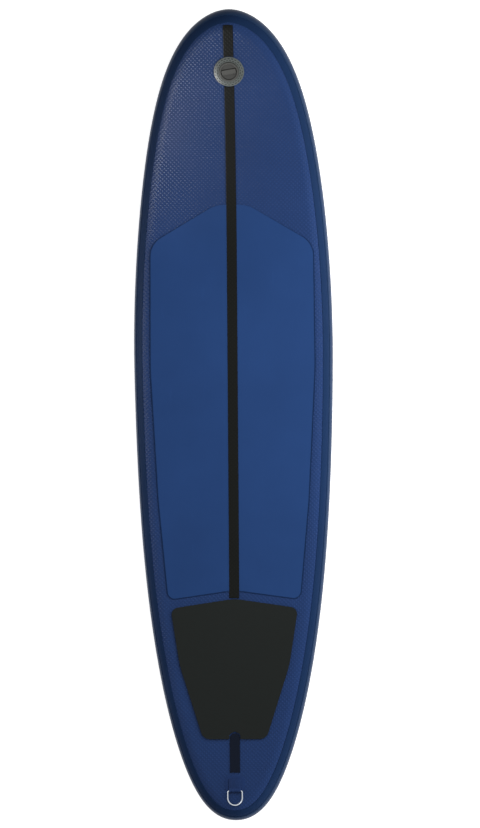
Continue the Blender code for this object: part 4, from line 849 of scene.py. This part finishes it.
def painted_cap_shade(local):
    """Painted shade: dark on the recess's steep walls and at their feet, and a little darker on its floor."""
    r, z = np.hypot(local[:, 0], local[:, 1]), local[:, 2]
    sunk = z < CAP_SUNK
    foot = np.clip(1 - (grip_reach(local[:, 0], local[:, 1]) + 0.0002) / 0.0026, 0, 1) * sunk
    wall = np.clip(1 - abs(z - 0.0064) / 0.0018, 0, 1) ** 0.5
    corner = np.clip(1 - (CAP_RECESS - r) / 0.0020, 0, 1) * sunk
    dark = np.maximum(np.maximum(foot, wall), 0.7 * corner)
    return np.where((z > 0.0045) & (r < 0.0285), 1.0 - 0.75 * dark - 0.25 * (1 - dark) * sunk, 0.8)


# painted shade in the cap's recess round the grip bar
shade_points(cap, lambda points: painted_cap_shade(placed(points, valve_seat.inverted())))
fit(cap, "cap", CAP_PLASTIC, "valve_cap", "valve_cap")


def tube(path, out, radius, steps):
    """A round wire along a path: each ring is a circle round it, from the given direction out."""
    run = np.gradient(path, axis=0)
    run /= np.linalg.norm(run, axis=1, keepdims=True)
    turn = np.linspace(0, math.tau, steps, endpoint=False)[None, :, None]
    return path[:, None] + radius * (out[:, None] * np.cos(turn) + np.cross(out, run)[:, None] * np.sin(turn))


def metal(name, colour, roughness):
    """Metal: fine brush lines along Y, and a shade and a gloss that change slowly."""
    look, tree, shader, place = new_material(name)
    lines = node(tree, "Mapping", {"Vector": place, "Scale": (2400.0, 40.0, 2400.0)}).outputs[0]
    brush = noise(tree, lines, 1.0, 4.0)
    grained = place_group(tree, GRAIN, {"Place": place, "Cloud": 60.0, "Colour": colour})
    gloss = maths(tree, "ADD", roughness - 0.04, maths(tree, "MULTIPLY", brush, 0.12))
    gloss = maths(tree, "ADD", gloss, maths(tree, "MULTIPLY", grained["Rough"], 0.5))
    finish(tree, shader, grained["Colour"], gloss, bump(tree, brush, 0.3, 0.00002), 0.5)
    shader.inputs["Metallic"].default_value = 1.0
    return look


SPRING_FOOT, SPRING_TOP, SPRING_TURNS = -0.0157, -0.0038, 4
SPRING_RADIUS = 0.0046
SPRING_WIRE = 0.0006
SPRING_STEEL = metal("valve spring steel", (0.62, 0.62, 0.60), 0.25)
turns = np.linspace(0, math.tau * SPRING_TURNS, 36 * SPRING_TURNS)
out = np.stack([np.cos(turns), np.sin(turns), 0 * turns], axis=-1)
rise = np.linspace(SPRING_FOOT + SPRING_WIRE, SPRING_TOP - SPRING_WIRE, len(turns))
coil = capped(tube(out * SPRING_RADIUS + rise[:, None] * np.array([0, 0, 1.0]), out, SPRING_WIRE, 12))
spring = surface("valve_spring_coil", placed(coil, valve_seat), loop=True)
fit(spring, "board", SPRING_STEEL, "spring_wire", "valve_spring")
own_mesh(spring)
INNER_PLASTIC = plastic("white valve plastic", (0.55, 0.56, 0.54), 0.45, 0.05)
RUBBER = plastic("black seal rubber", (0.020, 0.020, 0.021), 0.70, specular=0.25)
for names, look in (
    (("valve_nut", "valve_stem"), INNER_PLASTIC),
    (("valve_gasket", "valve_seal", "valve_cap_seal"), RUBBER),
):
    for name in names:
        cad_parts[name].data.materials[0] = look


# LEASH RING
# At the tail, a doubled vinyl patch is glued to the deck. Its webbing tongue is folded round the
# straight bar of a welded steel ring, which lies flat with its bow towards the tail.
LEASH_STATION = -1.133
RING_PIVOT = 0.0053
RING_WIRE = 0.0020
RING_LEAN = 4.0
FOLD_RADIUS = 0.00305
LOWER_PLY = 0.00225
UPPER_PLY = 0.00376
WEBBING_WIDTH = 0.036
WEBBING_THICKNESS = 0.00148
LEASH_PATCH = (0.060, 0.049, 0.012)  # its width, length and corners
LEASH_PATCH_MIDDLE = 0.0215
PATCH_ROUND = 0.0004
PATCH_VINYL = vinyl("leash patch vinyl", (0.015, 0.038, 0.128), 0.36, depth=0.00005, specular=0.10)
WEBBING = cloth("folded leash webbing", (0.014, 0.034, 0.112), 0.7, 620.0, 0.0003, 0.0)
leash_seat = frame_at(0.0, LEASH_STATION, HULL_RADIUS)
glued = slab(*LEASH_PATCH, GAP, GAP + SHEET, PATCH_ROUND, LEASH_PATCH_MIDDLE)
patch = surface("leash_patch_vinyl", placed(glued, leash_seat), loop=True)
fit(patch, "board", PATCH_VINYL, "leash_patch", "leash_patch")


def swept_band(path, width, thickness):
    """A band swept along a path in the YZ plane: its section is an oblong set square to the path."""
    run = np.gradient(path, axis=0)
    run /= np.linalg.norm(run, axis=1, keepdims=True)
    square = np.stack([-run[:, 1], run[:, 0]], axis=-1)
    section = oblong(width, thickness, thickness * 0.4, 4)
    yz = path[:, None] + square[:, None] * section[None, :, 1:]
    return capped(np.concatenate([np.broadcast_to(section[:, :1], (*yz.shape[:2], 1)), yz], axis=-1))


turns = np.radians(np.linspace(270, 70, 22))
fold = np.stack([FOLD_RADIUS * np.cos(turns), RING_PIVOT + FOLD_RADIUS * np.sin(turns)], axis=-1)
lower = np.stack([np.linspace(0.038, 0.001, 12), np.full(12, LOWER_PLY)], axis=-1)
ease = np.linspace(0, 1, 9)[1:, None]
upper = np.array([[0.0072, UPPER_PLY]]) * ease**0.8 + fold[-1:] * (1 - ease**0.8)
tongue = np.stack([np.linspace(0.010, 0.0375, 9), np.full(9, UPPER_PLY)], axis=-1)
path = np.concatenate([lower, fold, upper, tongue])
folded = swept_band(path, WEBBING_WIDTH, WEBBING_THICKNESS)
webbing = surface("leash_webbing_fold", placed(folded, leash_seat), loop=True)
fit(webbing, "board", WEBBING, "leash_webbing", "leash_webbing")


STEEL = metal("polished ring steel", (0.56, 0.60, 0.64), 0.24)
side, bow, bend = 0.0218, 0.0212, 0.005
quarter = np.linspace(0, math.pi / 2, 9)[:, None]
half_turn = np.linspace(0, -math.pi, 49)[:, None]
left = np.array([bend - side, -bend]) + bend * np.hstack([-np.sin(quarter), np.cos(quarter)])
right = np.array([side - bend, -bend]) + bend * np.hstack([np.cos(quarter), np.sin(quarter)])
loop_line = np.concatenate([
    np.array([[x, 0.0] for x in np.linspace(side - bend, bend - side, 20)])[:-1],
    left, [[-side, -bow * 0.6]],
    np.array([0, -bow]) + side * np.hstack([np.cos(half_turn), np.sin(half_turn)])[::-1],
    [[side, -bow * 0.6]], right[:-1],
])
loop_line = np.concatenate([loop_line[-2:], loop_line, loop_line[:3]])
run = np.gradient(loop_line, axis=0)
out = np.stack([run[:, 1], -run[:, 0], 0 * run[:, 0]], axis=-1)
out /= np.linalg.norm(out, axis=1, keepdims=True)
wire = tube(np.insert(loop_line, 2, 0.0, axis=1), out, RING_WIRE, 20)[2:-2]
pivot = leash_seat @ Matrix.Translation((0, 0, RING_PIVOT)) @ Matrix.Rotation(math.radians(RING_LEAN), 4, "X")
ring = surface("leash_ring_wire", placed(wire, pivot), loop=True)
fit(ring, "ring", STEEL, "leash_ring", "leash_ring")


# SIDE FINS
# Under the tail stand two moulded fins, canted outwards and toed in. Each has a flange glued over a
# reinforcing patch on the belly.
SIDE_FIN_STATION = -0.872
SIDE_FIN_X = 0.128
SIDE_FIN_CANT = 5
SIDE_FIN_TOE = 2.5
SIDE_FIN_PATCH = (0.062, 0.162, 0.019)  # width, length and corners
SIDE_FIN_FLANGE = (0.038, 0.138, 0.017)
SIDE_FIN_FOOT = 0.0015  # from the belly to the flange
SIDE_FIN_ROOT = 0.0037
SIDE_FIN_DEPTH = 0.115
SIDE_FIN_THICKNESS = 0.0075
INNER_FACE = 0.25  # how full the foil is on its inner side, where 1 is as full as the outer


def fin_blade(depth, thickness, flat_side=1.0):
    """A swept blade up Z: foils 2.6 sqrt(s) (1 - s)^1.15 thick shrink from root to tip between a leading
    edge that falls as (1 - share^1.7)^0.62 and a hollow trailing edge."""
    share = np.sin(math.pi / 2 * np.linspace(0, 1, 48)) * 0.992
    trail = -0.056 + 0.010 * np.sin(math.pi * share) - 0.030 * share**2.2
    lead = -0.086 + 0.142 * (1 - share**1.7) ** 0.62
    s = (1 - np.cos(math.pi * np.linspace(0, 1, 26))) / 2
    half = thickness * (1.3 * np.sqrt(s) * (1 - s) ** 1.15 + 0.05)
    chord, offset = np.concatenate([s, s[::-1]]), np.concatenate([half, -half[::-1] * flat_side])
    z = depth * share
    z[0] = -0.001
    taper = 0.25 + 0.75 * (1 - share)
    y = lead[:, None] + (trail - lead)[:, None] * chord
    return capped(np.stack([taper[:, None] * offset, y, z[:, None] + 0 * y], axis=-1))


FIN_PLASTIC = plastic("black fin plastic", (0.020, 0.021, 0.024), 0.28, 0.08, 0.5)
FIN_PATCH_VINYL = vinyl("fin patch vinyl", (0.022, 0.044, 0.128), 0.45, depth=0.00004, specular=0.16)
for side, name in SIDES:
    seat = frame_at(side * SIDE_FIN_X, SIDE_FIN_STATION, HULL_RADIUS, True, -side * SIDE_FIN_TOE)
    patch = slab(*SIDE_FIN_PATCH, GAP, GAP + SHEET, PATCH_ROUND)
    made = surface(f"side_fin_patch_{name}_vinyl", placed(patch, seat), loop=True)
    fit(made, "board", FIN_PATCH_VINYL, "fin_patch", f"side_fin_patch_{name}")
    flange = slab(*SIDE_FIN_FLANGE, SIDE_FIN_FOOT, SIDE_FIN_ROOT, 0.0009)
    blade = fin_blade(SIDE_FIN_DEPTH, SIDE_FIN_THICKNESS, INNER_FACE)
    if side < 0:
        blade = (blade * np.array([-1.0, 1.0, 1.0]))[:, ::-1]
    root = seat @ Matrix.Translation((0, 0, SIDE_FIN_ROOT))
    canted = root @ Matrix.Rotation(math.radians(-side * SIDE_FIN_CANT), 4, "Y")
    made = surface(f"side_fin_{name}_moulding", placed(flange, seat), placed(blade, canted), loop=True)
    fit(made, "board", FIN_PLASTIC, "fin", f"side_fin_{name}")


# CENTRE FIN
# A long box with a T-shaped slot is bonded to the belly on its own patch. The centre fin's foot stands
# on the box, and a cross pin, a plate and a screw hold it in the slot.
BOX_STATION = -1.012
BOX_FACE = 0.0275
BOX_PATCH = (0.114, 0.290, 0.044)  # width, length and corners
FIN_FOOT = (0.017, 0.134, 0.0076)
FIN_FOOT_HEIGHT = 0.003
FIN_FOOT_MIDDLE = 0.011
FIN_TAB = (0.0088, 0.098, 0.0026)
CENTRE_FIN_DEPTH = 0.100
CENTRE_FIN_THICKNESS = 0.0085
box_seat = frame_at(0.0, BOX_STATION, HULL_RADIUS, True)
glued = slab(*BOX_PATCH, GAP, GAP + SHEET, PATCH_ROUND)
patch = surface("fin_box_patch_vinyl", placed(glued, box_seat), loop=True)
fit(patch, "board", FIN_PATCH_VINYL, "fin_patch", "fin_box_patch")
foot = slab(*FIN_FOOT, BOX_FACE + GAP, BOX_FACE + GAP + FIN_FOOT_HEIGHT, 0.0008, FIN_FOOT_MIDDLE)
tab = slab(*FIN_TAB, BOX_FACE - 0.019, BOX_FACE + 0.0015, 0.0003)
blade = fin_blade(CENTRE_FIN_DEPTH, CENTRE_FIN_THICKNESS)
blade[..., 2] += BOX_FACE + GAP + FIN_FOOT_HEIGHT
grids = [placed(part, box_seat) for part in (foot, tab, blade)]
centre_fin = surface("centre_fin_moulding", *grids, loop=True)
fit(centre_fin, "fin", FIN_PLASTIC, "fin", "centre_fin")
BOX_PLASTIC = plastic("black box plastic", (0.018, 0.018, 0.019), 0.42)
HARDWARE = metal("brushed fin hardware", (0.60, 0.60, 0.58), 0.30)
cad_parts["fin_box"].data.materials[0] = BOX_PLASTIC
for name in ("fin_pin", "fin_plate", "fin_screw"):
    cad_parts[name].data.materials[0] = HARDWARE


# FLOOR, LIGHT AND CAMERA
# The board stands on its fins on a pale studio floor. A softbox at its right and low fills at its left and
# tail light it, two gloss lights shine on its left side, and the camera looks down at the deck from far
# off, a little from the right.
FLOOR_REACH = 30.0
CAMERA_TILT = 3.5  # seen from the right
CAMERA_ROLL = -0.416
CAMERA_DISTANCE = 40.0
VIEW_MIDDLE = (0.0181, 0.003, HULL_RADIUS)
FRAME_HEIGHT = 828 * 0.00301  # pixels of 3.01 mm on the deck
SENSOR_WIDTH = 36.0
floor_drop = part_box("centre_fin")[0].z - 0.001
floor_mesh = bpy.data.meshes.new("studio_floor")
corners = [(x * FLOOR_REACH, y * FLOOR_REACH, floor_drop) for x, y in ((-1, -1), (1, -1), (1, 1), (-1, 1))]
floor_mesh.from_pydata(corners, [], [(0, 1, 2, 3)])
floor = bpy.data.objects.new("studio_floor", floor_mesh)
bpy.context.scene.collection.objects.link(floor)


def rays_seen(tree):
    """1 for the rays that come from the camera, straight or by way of gloss or glass, and else 0."""
    path = node(tree, "LightPath").outputs
    seen = maths(tree, "MAXIMUM", path["Is Camera Ray"], path["Is Glossy Ray"])
    return maths(tree, "MAXIMUM", seen, path["Is Transmission Ray"])


floor_look, tree, shader, _ = new_material("pale studio floor")
shader.inputs["Base Color"].default_value = (0.80, 0.80, 0.80, 1.0)
shader.inputs["Roughness"].default_value = 0.9
shader.inputs["Specular IOR Level"].default_value = 0.1
shader.inputs["Emission Color"].default_value = (1.0, 1.0, 1.0, 1.0)
tree.links.new(maths(tree, "MULTIPLY", rays_seen(tree), 0.80), shader.inputs["Emission Strength"])
back = node(tree, "NewGeometry").outputs["Backfacing"]  # the floor can be seen through from below
tree.links.new(maths(tree, "SUBTRACT", 1.0, back), shader.inputs["Alpha"])
floor_mesh.materials.append(floor_look)

world = bpy.data.worlds.new("studio")
bpy.context.scene.world = world
world.use_nodes = True
tree = world.node_tree
background = tree.nodes["Background"]
background.inputs["Color"].default_value = (1.0, 1.0, 1.0, 1.0)
sky = maths(tree, "ADD", maths(tree, "MULTIPLY", rays_seen(tree), 0.75), 0.25)
tree.links.new(sky, background.inputs["Strength"])


def soft_light(name, place, aim, width, height, power, matt=True, gloss=True, spread=180.0):
    """A rectangular softbox at a place, facing a point, which lights matt surfaces, glossy ones or both.
    A grid can narrow its spread."""
    lamp = bpy.data.lights.new(name, "AREA")
    lamp.shape, lamp.size, lamp.size_y, lamp.energy = "RECTANGLE", width, height, power
    lamp.spread = math.radians(spread)
    made = bpy.data.objects.new(name, lamp)
    made.location = place
    made.rotation_euler = (Vector(place) - Vector(aim)).to_track_quat("Z", "Y").to_euler()
    made.visible_diffuse, made.visible_glossy = matt, gloss
    bpy.context.scene.collection.objects.link(made)


soft_light("key_softbox", (1.5, 0.45, 1.3), (0.0, 0.1, 0.1), 0.8, 2.6, 52, gloss=False)
soft_light("left_strip", (-2.0, 0.3, 1.1), (-0.1, 0.3, 0.1), 0.5, 2.4, 26, matt=False)
soft_light("nose_glint", (-0.52, 0.44, 0.76), (-0.13, 1.12, 0.21), 0.25, 0.25, 4.2, matt=False, spread=80.0)
soft_light("left_fill", (-2.2, -0.2, 0.14), (0.0, -0.2, 0.1), 0.4, 3.4, 29, gloss=False)
soft_light("tail_fill", (1.3, -2.2, 0.45), (0.1, -1.0, 0.1), 0.8, 0.5, 14, gloss=False)

camera_data = bpy.data.cameras.new("deck_camera")
camera_data.sensor_width = SENSOR_WIDTH
camera_data.lens = SENSOR_WIDTH * CAMERA_DISTANCE / FRAME_HEIGHT
camera_data.clip_end = 200.0
camera = bpy.data.objects.new("deck_camera", camera_data)
tilt = Matrix.Rotation(math.radians(CAMERA_TILT), 4, "Y")
roll = Matrix.Rotation(math.radians(CAMERA_ROLL), 4, "Z")
away = Matrix.Translation((0, 0, CAMERA_DISTANCE))
camera.matrix_world = Matrix.Translation(VIEW_MIDDLE) @ tilt @ roll @ away
bpy.context.scene.collection.objects.link(camera)
bpy.context.scene.camera = camera
bpy.context.scene.view_settings.view_transform = "Standard"
